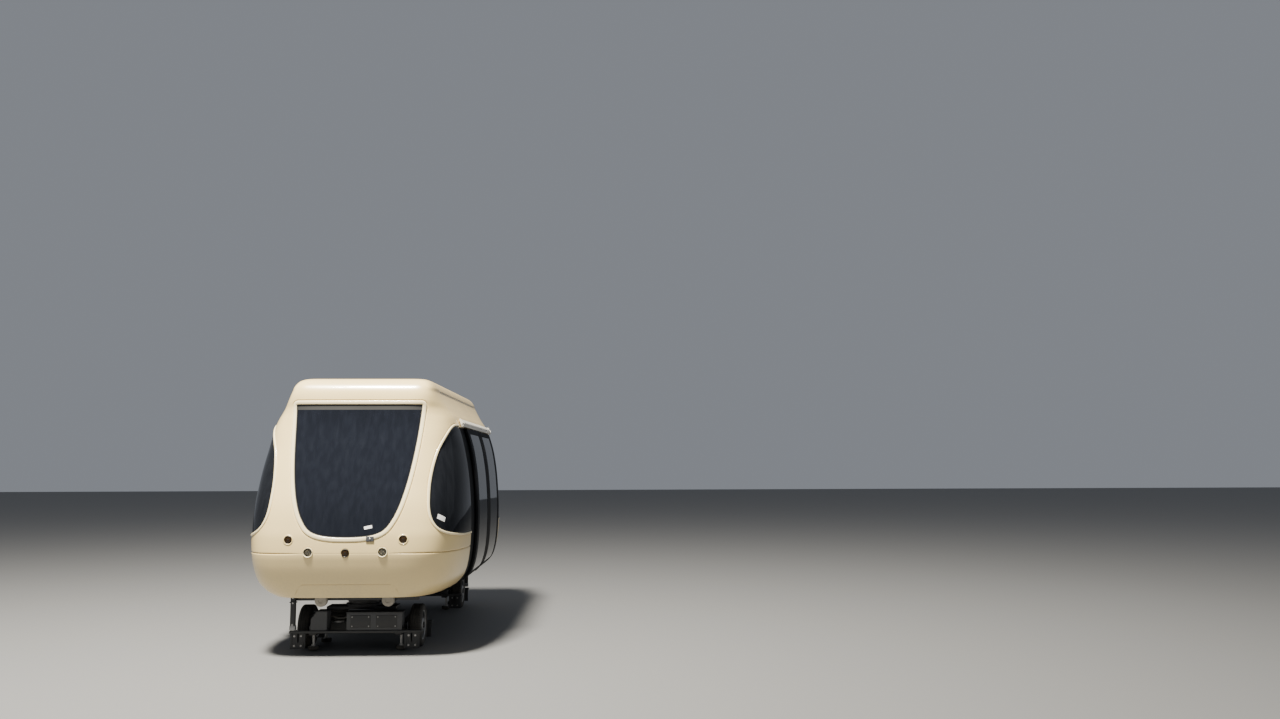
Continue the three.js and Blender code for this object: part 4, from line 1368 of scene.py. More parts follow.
def catchParts():
    halfU, halfZ = catchLook["half"]
    points, normals = surfaceAlong(np.array([(catchLook["x"], catchLook["z"])]))
    plate = roundedBox((-halfU, -halfZ, -0.004), (halfU, halfZ, catchLook["thick"]), 0.004)
    knob = lathe([(0, 0), (0.012, 0), (0.012, 0.017), (0.009, 0.019), (0, 0.019)], 20)
    return [("chassisGrey", facing(plate, points[0], normals[0])),
            ("boltSteel", facing(knob, points[0], normals[0]))]


for end, sign in ends:
    place(assemble(f"screenCatch_{end}", catchParts(), turn=sign > 0), "car_body", "equipment")
for name, side, u, z, halfU, halfZ, degrees in stickers:
    sheet = surfacePatch(side, u, z, halfU, halfZ, degrees, -0.0035, 0.0008)
    place(assemble(name, [("stickerWhite", sheet)]), "car_body", "light_trim")


# Roof fittings: a lifting pad at each corner and an eye plate behind each front edge.
padLook = {"x": 0.66, "y": 1.6, "half": 0.06, "lowZ": 3.27, "topZ": 3.345, "step": 0.012, "boltAt": 0.045}
eyeLook = {"x": 0.31, "y": 1.5, "halfThick": 0.012, "halfLength": 0.03, "lowZ": 3.29, "topZ": 3.368,
           "hole": 0.013, "bevel": 0.0025, "sides": 48}


def eyePlate():
    # Upright plate with a round head and a hole: rings of points in (y, z) joined by strips. Below the
    # head's middle its outline runs straight down to the foot.
    e = eyeLook
    r, t, bevel, sides = e["halfLength"], e["halfThick"], e["bevel"], e["sides"]
    centreZ = e["topZ"] - r
    angle = np.linspace(-math.pi / 2, 1.5 * math.pi, sides, endpoint=False)
    c, s = np.cos(angle), np.sin(angle)
    under = s < -0.02
    outer = np.stack([np.where(under, np.sign(c) * r * np.minimum(np.abs(c) * 3, 1), r * c),
                      np.where(under, e["lowZ"] - centreZ, r * s)], -1)
    inner = e["hole"] * np.stack([c, s], -1)
    rings = [(inner * 1.15, -t), (outer * 0.96, -t), (outer, -t + bevel), (outer, t - bevel),
             (outer * 0.96, t), (inner * 1.15, t), (inner, t - bevel), (inner, -t + bevel)]
    verts = np.concatenate([np.column_stack([np.full(sides, x), ring]) for ring, x in rings])
    faces = asTriangles(gridFaces(len(rings), sides, True, True))
    return verts + [0, 0, centreZ], outwards(verts, faces)


def roofFittings():
    p, e = padLook, eyeLook
    half, topZ = p["half"], p["topZ"]
    ring = revolve([(0.030, -0.014), (0.048, -0.014), (0.048, -0.003), (0.045, 0.0), (0.033, 0.0),
                    (0.030, -0.003)], 36)
    socket = rod(0.0295, -0.014, -0.010, 36)
    foot = lathe([(0, 3.318), (0.036, 3.318), (0.036, 3.331), (0.030, 3.334), (0, 3.334)], 28)
    parts = []
    for ySign, xSign in corners:
        x, y = xSign * p["x"], ySign * p["y"]
        stepZ = topZ - p["step"]
        pad = roundedBox((x - half, y - half, p["lowZ"]), (x + half, y + half, stepZ), 0.008)
        spots = [(x + xs * p["boltAt"], y + ys * p["boltAt"], stepZ) for xs, ys in corners]
        eye = (xSign * e["x"], ySign * e["y"], 0)
        parts += [("castRim", pad), ("castRim", moved(ring, (x, y, topZ))),
                  ("blackSatin", moved(socket, (x, y, topZ))),
                  ("boltSteel", bolts(spots, (0, 0, 1), 0.007, 0.006)),
                  ("castRim", moved(eyePlate(), eye)), ("castRim", moved(foot, eye))]
    return parts


place(assemble("roofFittings", roofFittings()), "car_body", "body_paint")
print("roof fittings made")


# Eave rail over each door: a hollow section with end caps, and a thin strip along its face whose bright
# colour is a painted highlight.
railLook = {"halfLength": 1.65, "lowZ": 2.745, "faceTopZ": 2.800, "topZ": 2.850, "depth": 0.036,
            "topDepth": 0.014, "grooveIn": 0.008, "mouthOut": 0.020, "grooveOut": 0.031, "lipZ": 2.760,
            "grooveTopZ": 2.780, "taper": 0.034, "tip": 0.3, "slotZ": (2.768, 2.771, 2.777, 2.780),
            "slotDepth": 0.003, "stripZ": (2.7835, 2.7925), "boxZ": (2.755, 2.795),
            "boxFromEnd": (0.20, 0.165)}
hangerLook = {"offsets": (0.09, 0.45), "length": 0.16, "inner": 0.010, "stem": 0.018, "head": 0.029,
              "headZ": (2.7605, 2.778), "underLeafTop": 0.02}


def sideWidth(z):
    return float(bodyColumn(heightToT(z), 1))


def railOutline():
    # The rail's section in (x, z), on the +X side: a groove below for the hangers and a slot in its face.
    r = railLook
    low, high = sideWidth(r["lowZ"]), sideWidth(r["topZ"])
    face, slot = low + r["depth"], r["slotZ"]
    back = face - r["slotDepth"]
    return np.array([
        (low + 0.001, r["lowZ"]), (low + r["grooveIn"], r["lowZ"]), (low + r["grooveIn"], r["grooveTopZ"]),
        (low + r["grooveOut"], r["grooveTopZ"]), (low + r["grooveOut"], r["lipZ"]),
        (low + r["mouthOut"], r["lipZ"]), (low + r["mouthOut"], r["lowZ"]), (face - 0.002, r["lowZ"]),
        (face, r["lowZ"] + 0.003), (face, slot[0]), (back, slot[1]), (back, slot[2]), (face, slot[3]),
        (face, r["faceTopZ"] - 0.004), (face - 0.003, r["faceTopZ"] + 0.002),
        (high + r["topDepth"], r["topZ"]), (high + 0.001, r["topZ"]),
    ])


def eaveRail():
    # The section carried along Y, and drawn in to a share of its depth at both ends as a quarter sine.
    r, half = railLook, railLook["halfLength"]
    low, outline = sideWidth(r["lowZ"]), railOutline()
    face = low + r["depth"]
    inner = half - r["taper"]
    y = np.concatenate([np.linspace(-half, -inner, 8), np.linspace(inner, half, 8)])
    quarter = np.sin(np.clip((half - np.abs(y)) / r["taper"], 0, 1) * math.pi / 2)
    x = low + 0.001 + np.outer(quarter * (1 - r["tip"]) + r["tip"], outline[:, 0] - low - 0.001)
    rings = [np.column_stack([across, np.full(len(outline), at), outline[:, 1]]) for across, at in zip(x, y)]
    verts = np.concatenate(rings)
    cap = np.array(tessellate_polygon([[Vector((u, v, 0)) for u, v in outline]]))
    walls = asTriangles(gridFaces(len(y), len(outline), False, True))
    faces = closeEnds(walls, cap, len(outline), len(y))
    # The strip's bright colour is a painted highlight along the rail's face.
    strip = roundedBox((face - 0.002, -inner, r["stripZ"][0]), (face + 0.003, inner, r["stripZ"][1]), 0.0015)
    start, stop = (half - gap for gap in r["boxFromEnd"])
    box = roundedBox((face - 0.0035, start, r["boxZ"][0]), (face + 0.012, stop, r["boxZ"][1]), 0.0035)
    return [("lightTrim", (verts, outwards(verts, faces))), ("stripBright", strip), ("stripBright", box)]


for side, xSign in sides:
    rail = assemble(f"eaveRail_{side}", eaveRail(), turn=xSign < 0)
    place(rail, "car_body", "light_trim", f"eave_rail_{side}")

# Rubber noses where the two leaves of a door meet, and the leaves' hangers in the rail.
meetLook = {"width": 0.010, "proud": 0.003, "half": 0.015, "outset": 0.012, "play": 0.0008, "rows": 60}


def leafTrim():
    # On the +X side's rear leaf: a rubber nose that follows the side's curve, and two hangers.
    m, h = meetLook, hangerLook
    z = np.linspace(leafLook["bottomZ"] + 0.003, leafLook["topZ"] - 0.003, m["rows"])
    x = bodyColumn(heightToT(z), 1) + m["outset"]
    path = np.stack([x, np.full(m["rows"], m["width"] / 2 + m["play"]), z], -1)
    w, d = m["width"] / 2, m["half"] + m["proud"]
    profile = np.array([(-w, -d + 0.006), (-w * 0.8, d - 0.002), (0, d), (w * 0.8, d - 0.002),
                        (w, -d + 0.006)])
    parts = [("sealRubber", sweep(path, profile, normals=np.tile([1.0, 0, 0], (m["rows"], 1))))]
    low = sideWidth(railLook["lowZ"])
    for offset in h["offsets"]:
        y0 = leafLook["meetGap"] / 2 + offset
        y1 = y0 + h["length"]
        stemLowZ = leafLook["topZ"] - h["underLeafTop"]
        for outer, lowZ in ((h["stem"], stemLowZ), (h["head"], h["headZ"][0])):
            bar = roundedBox((low + h["inner"], y0, lowZ), (low + outer, y1, h["headZ"][1]), 0.002)
            parts.append(("boltSteel", bar))
    return parts


for side, xSign in sides:
    for end, ySign in ends:
        parts = [(material, flipped(part, xSign, ySign)) for material, part in leafTrim()]
        place(assemble(f"leafSeal_{end}_{side}", parts), f"door_{end}_{side}", "door_frame")
print("eave rails and door seals made")

# Wheels: a treaded tyre and a dished rim on each stub axle, made about the wheel's centre with the axle
# along Z.
wheelLook = {"x": 0.68, "y": 1.85, "z": 0.26, "radius": 0.26, "half": 0.075, "rimRadius": 0.175,
             "blocks": 56, "stepsPerBlock": 6, "grooves": (-0.030, 0.0, 0.030), "grooveHalf": 0.0035,
             "grooveDepth": 0.007, "notchDepth": 0.006, "notchFrom": 0.045, "notchReach": 0.022}


def tyrePart():
    # Section round the tyre as (radius, height). Grooves run round it, and notches cut its shoulders at
    # even angles.
    w = wheelLook
    r0, r1, half = w["rimRadius"], w["radius"], w["half"]
    wall = bezier((r0, -half + 0.012), (r0 + 0.012, -half - 0.003), (r1 - 0.05, -half - 0.002),
                  (r1 - 0.028, -half + 0.001), count=9)
    shoulder = bezier((r1 - 0.028, -half + 0.001), (r1 - 0.013, -half + 0.004), (r1 - 0.002, -half + 0.012),
                      (r1, -half + 0.024), count=6)[1:]
    grooveSides = ((-1, 1.0), (-1, 0.8), (1, 0.8), (1, 1.0))
    cuts = [g + s * w["grooveHalf"] * k for g in w["grooves"] for s, k in grooveSides]
    flat = np.array([(r1 - (0 if i % 4 in (0, 3) else w["grooveDepth"]), h) for i, h in enumerate(cuts)])
    top = np.concatenate([wall, shoulder, flat, (shoulder * [1, -1])[::-1], (wall * [1, -1])[::-1]])
    section = np.concatenate([top, [(r0 - 0.001, half - 0.02), (r0 - 0.001, -half + 0.02)]])
    count = w["blocks"] * w["stepsPerBlock"]
    angle = np.arange(count) / count * 2 * math.pi
    notch = np.isin(np.arange(count) % w["stepsPerBlock"], (0, 1))
    onShoulder = (np.abs(section[:, 1]) > w["notchFrom"]) & (section[:, 0] > r1 - w["notchReach"])
    radius = section[:, 0][None, :] - (notch[:, None] & onShoulder[None, :]) * w["notchDepth"]
    verts = np.stack([radius * np.cos(angle)[:, None], radius * np.sin(angle)[:, None],
                      np.tile(section[:, 1], (count, 1))], -1).reshape(-1, 3)
    faces = asTriangles(gridFaces(count, len(section), True, True))
    return verts, outwards(verts, faces)


def rimParts():
    # Dished disc between two flanges, a hub with its cap, eight nuts and four cap bolts.
    r, half = wheelLook["rimRadius"] - 0.0008, wheelLook["half"]
    barrel = revolve([
        (r, -half + 0.016), (r, half - 0.016), (r + 0.006, half - 0.012), (r + 0.004, half - 0.008),
        (r - 0.006, half - 0.009), (r - 0.014, half - 0.02), (r - 0.016, 0.020), (r - 0.030, 0.012),
        (0.112, 0.020), (0.092, 0.030), (0.084, 0.060), (0.072, 0.067), (0.050, 0.069), (0.041, 0.066),
        (0.041, -0.050), (0.080, -0.052), (0.082, -0.010), (r - 0.030, -0.006), (r - 0.016, -0.020),
        (r - 0.014, -half + 0.02), (r - 0.006, -half + 0.009), (r + 0.004, -half + 0.008),
        (r + 0.006, -half + 0.012),
    ], 72)
    cap = lathe([(0, 0.050), (0.0395, 0.050), (0.0395, 0.074), (0.036, 0.080), (0.024, 0.084),
                 (0, 0.085)], 40)
    nuts = bolts(circleOf(8, 0.105, 0.0225), (0, 0, 1), 0.010, 0.014)
    capBolts = bolts(circleOf(4, 0.058, 0.068), (0, 0, 1), 0.006, 0.005)
    return [("castRim", barrel), ("blackSatin", cap), ("boltSteel", joined([nuts, capBolts]))]


tyreShape, rimSet = tyrePart(), rimParts()
for end, ySign in ends:
    for side, xSign in sides:
        centre = (xSign * wheelLook["x"], ySign * wheelLook["y"], wheelLook["z"])
        out = (xSign, 0, 0)
        tread = [("tyreRubber", facing(tyreShape, centre, out))]
        tyre = assemble(f"tyreTread_{end}_{side}", tread, sharp=28)
        place(tyre, f"wheel_{end}_{side}", "tyre", f"tyre_{end}_{side}")
        rim = assemble(f"wheelRim_{end}_{side}", [(m, facing(p, centre, out)) for m, p in rimSet])
        place(rim, f"wheel_{end}_{side}", "rim", f"rim_{end}_{side}")
print("wheels made")

# Guide wheels: rubber-tyred discs that lie flat, each on an upright pin of the bogie frame.
guideLook = {"x": 0.53, "y": 0.30, "lowZ": 0.012, "topZ": 0.062, "radius": 0.065, "pin": 0.0175}


def guideParts():
    r, low, top, bore = (guideLook[k] for k in ("radius", "lowZ", "topZ", "pin"))
    rubber = revolve([
        (r - 0.016, low + 0.003), (r - 0.005, low + 0.001), (r, low + 0.008), (r, top - 0.008),
        (r - 0.005, top - 0.001), (r - 0.016, top - 0.003),
    ], 48)
    core = revolve([
        (bore, low), (r - 0.020, low), (r - 0.0165, low + 0.004), (r - 0.0165, top - 0.004),
        (r - 0.020, top), (r - 0.028, top - 0.006), (bore + 0.010, top - 0.006), (bore + 0.008, top),
        (bore, top),
    ], 40)
    return [("tyreRubber", rubber), ("castRim", core)]


for end, ySign in ends:
    for side, xSign in sides:
        for spot, along in (("outer", 1), ("inner", -1)):
            g = guideLook
            centre = (xSign * g["x"], ySign * (wheelLook["y"] + along * g["y"]), 0)
            parts = [(m, moved(p, centre)) for m, p in guideParts()]
            roller = assemble(f"guideRoller_{end}_{side}_{spot}", parts)
            place(roller, f"guide_{end}_{side}_{spot}", "tyre", f"guide_wheel_{end}_{side}_{spot}")
print("guide wheels made")

# Bogie frames, in millimetres about the pivot, for the -Y end.
bogieTable = [
    # x0, x1, y0, y1, z0, z1, radius, finish
    (-540, 540, -70, 70, 190, 330, 16, "chassisPaint"),
    (-430, 430, -130, 130, 470, 510, 6, "chassisPaint"),
    (-110, 560, -440, -250, 255, 472, 10, "chassisGrey"),
    (-116, 566, -446, -244, 464, 480, 5, "chassisPaint"),
    (-60, 180, -446, -438, 290, 440, 4, "chassisPaint"),
    (250, 500, -446, -438, 290, 440, 4, "chassisPaint"),
    (-790, 790, -460, -380, 230, 260, 5, "chassisPaint"),
    (-790, 790, 380, 460, 230, 260, 5, "chassisPaint"),
    (-560, -470, -420, 420, 200, 320, 10, "chassisPaint"),
    (470, 560, -420, 420, 200, 320, 10, "chassisPaint"),
]
bogieCorners = [
    # x0, x1, y0, y1, z0, z1, radius, at all four corners
    (593, 777, 430, 450, 45, 240, 4),
    (668, 692, 390, 450, 120, 240, 4),
    (610, 622, 448, 455, 60, 236, 2),
    (748, 760, 448, 455, 60, 236, 2),
]
springLook = {"x": 0.30, "radius": 0.115, "lowZ": 0.31, "topZ": 0.49, "folds": 3, "plateRadius": 0.108}
pinLook = {"radius": 0.0155, "z": (0.010, 0.21), "nutRadius": 0.026, "nutZ": (0.064, 0.078)}
stubLook = {"x": 0.52, "drumX": 0.562, "boltX": 0.562}
guardBolts = {"x": (0.645, 0.725), "y": 0.452, "z": (0.085, 0.20)}
coverBolts = {"x": (-0.04, 0.16, 0.27, 0.48), "y": -0.447, "z": (0.31, 0.42)}
tiltOutline = [(-540, 255), (-340, 255), (-340, 490), (-470, 490), (-540, 400)]
lidOutline = [(-545, 395), (-540, 402), (-470, 494), (-338, 494), (-338, 484), (-465, 484)]
turretProfile = [(0, 0.500), (0.205, 0.500), (0.21, 0.506), (0.21, 0.540), (0.185, 0.546), (0.185, 0.572),
                 (0.208, 0.578), (0.208, 0.5895), (0, 0.5895)]
bogiePipes = [
    # points in millimetres, radius in metres: two air pipes, two brake pipes and a lead
    ([(-300, 60, 500), (-300, 175, 480), (-240, 250, 400), (-60, 250, 345), (40, 60, 338), (60, -240, 350)],
     0.009),
    ([(300, 60, 500), (310, 180, 470), (250, 260, 400), (150, 200, 345), (120, -60, 338),
      (110, -245, 360)], 0.009),
    ([(-440, -50, 300), (-430, -170, 350), (-380, -240, 380)], 0.007),
    ([(440, -50, 300), (430, -160, 350), (400, -245, 380)], 0.007),
    ([(-330, -300, 420), (-220, -330, 395), (-150, -320, 400), (-112, -330, 410)], 0.010),
]


def bellows():
    # Air spring: radius swells and narrows with height as a chain of half circles, between two round plates.
    s = springLook
    z = np.linspace(0, 1, s["folds"] * 12 + 1)
    swell = np.abs(np.sin(z * s["folds"] * math.pi)) ** 0.7
    low, high = s["lowZ"] + 0.014, s["topZ"] - 0.016
    profile = np.stack([s["radius"] * (0.84 + 0.16 * swell), low + (high - low) * z], -1)
    rubber = lathe(np.concatenate([[(0, low)], profile, [(0, high)]]), 48)
    levels = ((s["lowZ"], low + 0.004), (high - 0.004, s["topZ"]))
    return rubber, joined([rod(s["plateRadius"], a, b, 48) for a, b in levels])


def smoothPath(points, per=10):
    # A curve through given points, with slopes from each point's two neighbours.
    run = runAlong(points)
    t = np.linspace(0, run[-1], per * (len(points) - 1) + 1)
    slopes = np.gradient(points, run, axis=0)
    return np.stack([followCurve(t, run, points[:, k], slopes[:, k]) for k in range(3)], -1)


def bogieSide(x):
    # What the frame carries on one side: air spring, stub axle with its drum, pins and rail guards.
    s, stub = springLook, stubLook
    rubber, plates = bellows()
    pin = rod(pinLook["radius"], *pinLook["z"], 24)
    nut = rod(pinLook["nutRadius"], *pinLook["nutZ"], 6)
    axle = lathe([(0, 0), (0.0395, 0), (0.0395, 0.225), (0, 0.23)], 32)
    drum = lathe([(0, 0), (0.135, 0), (0.140, 0.006), (0.140, 0.018), (0.062, 0.024), (0.055, 0.040),
                  (0, 0.040)], 48)
    axleZ, out = wheelLook["z"], (x, 0, 0)
    parts = [("sealRubber", moved(rubber, (x * s["x"], 0, 0))),
             ("castRim", moved(plates, (x * s["x"], 0, 0))),
             ("boltSteel", facing(axle, (x * stub["x"], 0, axleZ), out)),
             ("castRim", facing(drum, (x * stub["drumX"], 0, axleZ), out))]
    for y in (-1, 1):
        at = (x * guideLook["x"], y * guideLook["y"], 0)
        parts += [("boltSteel", moved(pin, at)), ("boltSteel", moved(nut, at))]
        for *limits, radius in bogieCorners:
            parts.append(("chassisPaint", flipped(boxOf(limits, radius), x, y)))
        g = guardBolts
        rows = [(x * px, y * g["y"], pz) for px in g["x"] for pz in g["z"]]
        parts.append(("boltSteel", bolts(rows, (0, y, 0), 0.009, 0.007)))
    rows = [(x * stub["boltX"], y, z) for y in (-0.36, -0.18, 0.18, 0.36) for z in (0.225, 0.295)]
    return parts + [("boltSteel", bolts(rows, out, 0.009, 0.007))]


def bogieParts():
    parts = [(finishName, boxOf(limits, radius)) for *limits, radius, finishName in bogieTable]
    parts += bogieSide(-1) + bogieSide(1)
    tilt = prism(np.array(tiltOutline) * mm, -0.44, -0.25, 0.008)
    lid = prism(np.array(lidOutline) * mm, -0.444, -0.246, 0.002)
    parts += [("chassisGrey", axes(tilt, "xzy")), ("chassisPaint", axes(lid, "xzy")),
              ("chassisPaint", lathe(turretProfile, 64)),
              ("boltSteel", bolts(circleOf(12, 0.197, 0.578), (0, 0, 1), 0.006, 0.004))]
    for points, radius in bogiePipes:
        parts.append(("hoseBlack", tube(smoothPath(np.array(points) * mm), radius, 10)))
    c = coverBolts
    covers = [(x, c["y"], z) for x in c["x"] for z in c["z"]]
    return parts + [("boltSteel", bolts(covers, (0, -1, 0), 0.006, 0.005))]


bogieSet = bogieParts()
for end, sign in ends:
    parts = [(m, moved(p, (0, -wheelLook["y"], 0))) for m, p in bogieSet]
    frameWork = assemble(f"bogieFrame_{end}", parts, turn=sign > 0)
    place(frameWork, f"bogie_{end}", "chassis", f"bogie_frame_{end}")
print("bogies made")

# Frame under the floor, with buffers, pivots, arms, pipes and their clips.
underTable = [
    # x0, x1, y0, y1, z0, z1, radius
    (370, 490, -2300, 2300, 610, 739.7, 8),
    (-490, -370, -2300, 2300, 610, 739.7, 8),
    (-760, 760, -2300, -2200, 620, 739.7, 8),
    (-860, 860, -1180, -1080, 620, 739.7, 8),
    (-860, 860, -50, 50, 620, 739.7, 8),
    (-860, 860, 1080, 1180, 620, 739.7, 8),
    (-760, 760, 2200, 2300, 620, 739.7, 8),
    (-430, 430, -2000, -1700, 620, 739.7, 8),
    (-430, 430, 1700, 2000, 620, 739.7, 8),
    (-770, -710, -2350, -2300, 275, 700, 6),
    (710, 770, 2300, 2350, 275, 700, 6),
    (-780, -700, -2356, -2294, 600, 612, 3),
    (700, 780, 2294, 2356, 600, 612, 3),
]


bufferLook = {"x": 0.402, "y": 2.350, "z": 0.626}
hangerPost = {"x": 0.74, "y": 2.325, "shoeZ": 0.30, "boltY": 2.352, "boltZ": (0.34, 0.60, 0.66)}
longPipes = [
    # x, radius, finish
    (-0.60, 0.016, "castRim"),
    (-0.65, 0.016, "castRim"),
    (0.62, 0.022, "hoseBlack"),
]
pipeY, pipeZ = (-1.30, -0.6, 0.0, 0.6, 1.30), 0.70
clipY = (-0.9, -0.3, 0.3, 0.9)
clipSpans = ((-0.68, -0.57, 0.722), (0.595, 0.645, 0.724))   # x0, x1, low z
beamBolts = {"x": 0.43, "out": 0.061, "y": (-2.1, -1.5, -0.6, 0.6, 1.5, 2.1), "z": 0.68}


def bufferPart():
    # Turned about its own axis: a rubber face on a steel plate, on a stem with a collar.
    face = lathe([(0, -0.030), (0.070, -0.030), (0.074, -0.024), (0.074, 0.016), (0.071, 0.026),
                  (0.062, 0.030), (0.030, 0.030), (0.026, 0.024), (0, 0.024)], 56)
    plate = revolve([(0.050, -0.036), (0.073, -0.036), (0.0755, -0.030), (0.0755, -0.018),
                     (0.050, -0.018)], 56)
    stem = lathe([(0, -0.160), (0.040, -0.160), (0.040, -0.050), (0.052, -0.044), (0.052, -0.030),
                  (0, -0.030)], 36)
    return [("bufferFace", face), ("castRim", plate), ("chassisPaint", stem)]


def frameEnd(ySign):
    # Two buffers with their bolts, the bogie's pivot post, and the foot of one hanger.
    b, h, out = bufferLook, hangerPost, (0, ySign, 0)
    parts = []
    for xSign in (-1, 1):
        spot = (xSign * b["x"], ySign * b["y"], b["z"])
        parts += [(m, facing(p, spot, out)) for m, p in bufferPart()]
        rows = [(xSign * x, ySign * 2.302, z) for x in (0.39, 0.47) for z in (0.70, 0.725)]
        parts.append(("boltSteel", bolts(rows, out, 0.009, 0.007)))
    post = lathe([(0, 0.5905), (0.20, 0.5905), (0.21, 0.596), (0.21, 0.612), (0.190, 0.620),
                  (0.190, 0.7397), (0, 0.7397)], 64)
    shoe = roundedBox((-0.035, -0.03, -0.028), (0.035, 0.03, 0.03), 0.006)
    rows = [(ySign * h["x"], ySign * h["boltY"], z) for z in h["boltZ"]]
    return parts + [("chassisPaint", moved(post, (0, ySign * wheelLook["y"], 0))),
                    ("castRim", moved(shoe, (ySign * h["x"], ySign * h["y"], h["shoeZ"]))),
                    ("boltSteel", bolts(rows, out, 0.009, 0.007))]


def underParts():
    parts = [("chassisPaint", boxOf(limits, radius)) for *limits, radius in underTable]
    parts += frameEnd(-1) + frameEnd(1)
    for x, radius, finishName in longPipes:
        path = smoothPath(np.array([(x, y, pipeZ) for y in pipeY]))
        parts.append((finishName, tube(path, radius, 14)))
    for y in clipY:
        for x0, x1, lowZ in clipSpans:
            clip = roundedBox((x0, y - 0.015, lowZ), (x1, y + 0.015, 0.7397), 0.002)
            parts.append(("boltSteel", clip))
    b = beamBolts
    for x in (-b["x"], b["x"]):
        for a in (-1, 1):
            rows = [(x + a * b["out"], y, b["z"]) for y in b["y"]]
            parts.append(("boltSteel", bolts(rows, (a, 0, 0), 0.010, 0.008)))
    return parts


place(assemble("underFrameWork", underParts()), "car_body", "chassis", "underframe")
print("underframe made")

# Rope grip: a base on the frame, a web with ribs, two jaws on a slot, and a spring that closes them.
gripTable = [
    # x0, x1, y0, y1, z0, z1, radius, finish
    (-140, 140, -220, 220, 585, 619.7, 6, "housingGrey"),
    (-25, 25, -110, 110, 190, 600, 5, "housingGrey"),
    (-60, -15, -170, 170, 62, 200, 6, "castRim"),
    (15, 60, -170, 170, 62, 200, 6, "castRim"),
    (-58, 58, -165, 165, 104, 198, 6, "castRim"),
    (-62, 62, -120, 120, 186, 204, 4, "housingGrey"),
    (-90, 90, -8, 8, 480, 590, 4, "housingGrey"),
    (-60, 60, -6, 6, 190, 300, 4, "housingGrey"),
]
gripLook = {"z": 0.16, "springX": 0.090, "washerX": 0.114, "rodX": 0.059, "boltX": 0.061}


def gripParts():
    g, z = gripLook, gripLook["z"]
    parts = [(finishName, boxOf(limits, radius)) for *limits, radius, finishName in gripTable]
    washer = rod(0.034, 0, 0.006, 28)
    bar = lathe([(0, 0), (0.011, 0), (0.011, 0.058), (0, 0.060)], 20)
    for x in (-1, 1):
        rows = [(x * g["boltX"], y, z) for y in (-0.12, 0.12)]
        parts += [("boltSteel", coil((x * g["springX"], 0, z), 0.028, 0.0055, 0.060, 4)),
                  ("boltSteel", facing(washer, (x * g["washerX"], 0, z), (x, 0, 0))),
                  ("boltSteel", facing(bar, (x * g["rodX"], 0, z), (x, 0, 0))),
                  ("boltSteel", bolts(rows, (x, 0, 0), 0.010, 0.008))]
    rows = [(x, y, 0.5855) for x in (-0.11, 0.11) for y in (-0.18, 0.18)]
    return parts + [("boltSteel", bolts(rows, (0, 0, -1), 0.012, 0.010))]


place(assemble("ropeGripWork", gripParts()), "car_body", "equipment", "rope_grip")
print("rope grip made")

# Inside: moulded benches, hand rails with their sockets.
benchLook = {"half": 0.90, "frontY": -1.80, "backY": -2.38, "seatZ": 1.24, "lowZ": 1.15, "backThick": 0.08,
             "topZ": 1.56, "toe": 0.06, "floorZ": 0.8003, "places": 4, "dish": 0.020, "corner": 0.030,
             "columns": 97}


def roundedLoop(corners, radius, steps=5):
    # A closed polygon with each corner replaced by a quadratic curve that starts and ends a radius away.
    corners = np.asarray(corners, float)
    t = np.linspace(0, 1, steps)[:, None]
    loop = []
    for before, here, after in zip(np.roll(corners, 1, 0), corners, np.roll(corners, -1, 0)):
        a = here + (before - here) / np.linalg.norm(before - here) * radius
        b = here + (after - here) / np.linalg.norm(after - here) * radius
        loop.append((1 - t) ** 2 * a + 2 * t * (1 - t) * here + t**2 * b)
    return np.concatenate(loop)


def benchPart():
    # The seat's section carried across the car, and drawn in by sin^2 along the bench to form one dish
    # per place.
    b = benchLook
    backY = b["backY"] - b["backThick"]
    outline = [(b["frontY"], b["lowZ"]), (b["frontY"], b["seatZ"]), (b["backY"], b["seatZ"]),
               (b["backY"], b["topZ"]), (backY, b["topZ"]), (backY, b["lowZ"])]
    loop = evenPath(roundedLoop(outline, b["corner"]), 0.02, True)
    x = np.linspace(-b["half"], b["half"], b["columns"])
    dish = np.sin((x + b["half"]) / (2 * b["half"]) * b["places"] * math.pi) ** 2
    y, z = loop[:, 0], loop[:, 1]
    onSeat = (z > b["seatZ"] - 0.004) & (y > b["backY"] - 0.01) & (y < b["frontY"] - 0.02)
    onBack = (y > b["backY"] - 0.004) & (z > b["seatZ"] + 0.03) & (z < b["topZ"] - 0.02)
    count, m = len(x), len(loop)
    verts = np.stack([np.repeat(x, m), np.tile(y, count), np.tile(z, count)], -1)
    verts[:, 1] -= (np.outer(dish, onBack * 1.0) * b["dish"]).ravel()
    verts[:, 2] -= (np.outer(dish, onSeat * 1.0) * b["dish"]).ravel()
    cap = np.array(tessellate_polygon([[Vector((u, v, 0)) for u, v in loop]]))
    faces = closeEnds(asTriangles(gridFaces(count, m, False, True)), cap, m, count)
    return verts, outwards(verts, faces)


for end, sign in ends:
    b = benchLook
    plinth = roundedBox((-b["half"] + b["toe"], b["backY"] - 0.05, b["floorZ"]),
                        (b["half"] - b["toe"], b["frontY"] - b["toe"], b["lowZ"] + 0.01), 0.01)
    parts = [("seatPlastic", benchPart()), ("liningPale", plinth)]
    place(assemble(f"benchSeats_{end}", parts, turn=sign > 0), "car_body", "seat", f"bench_{end}")

poleLook = {"x": 0.62, "y": 1.72, "radius": 0.018, "railZ": 2.56, "floorZ": 0.8003}


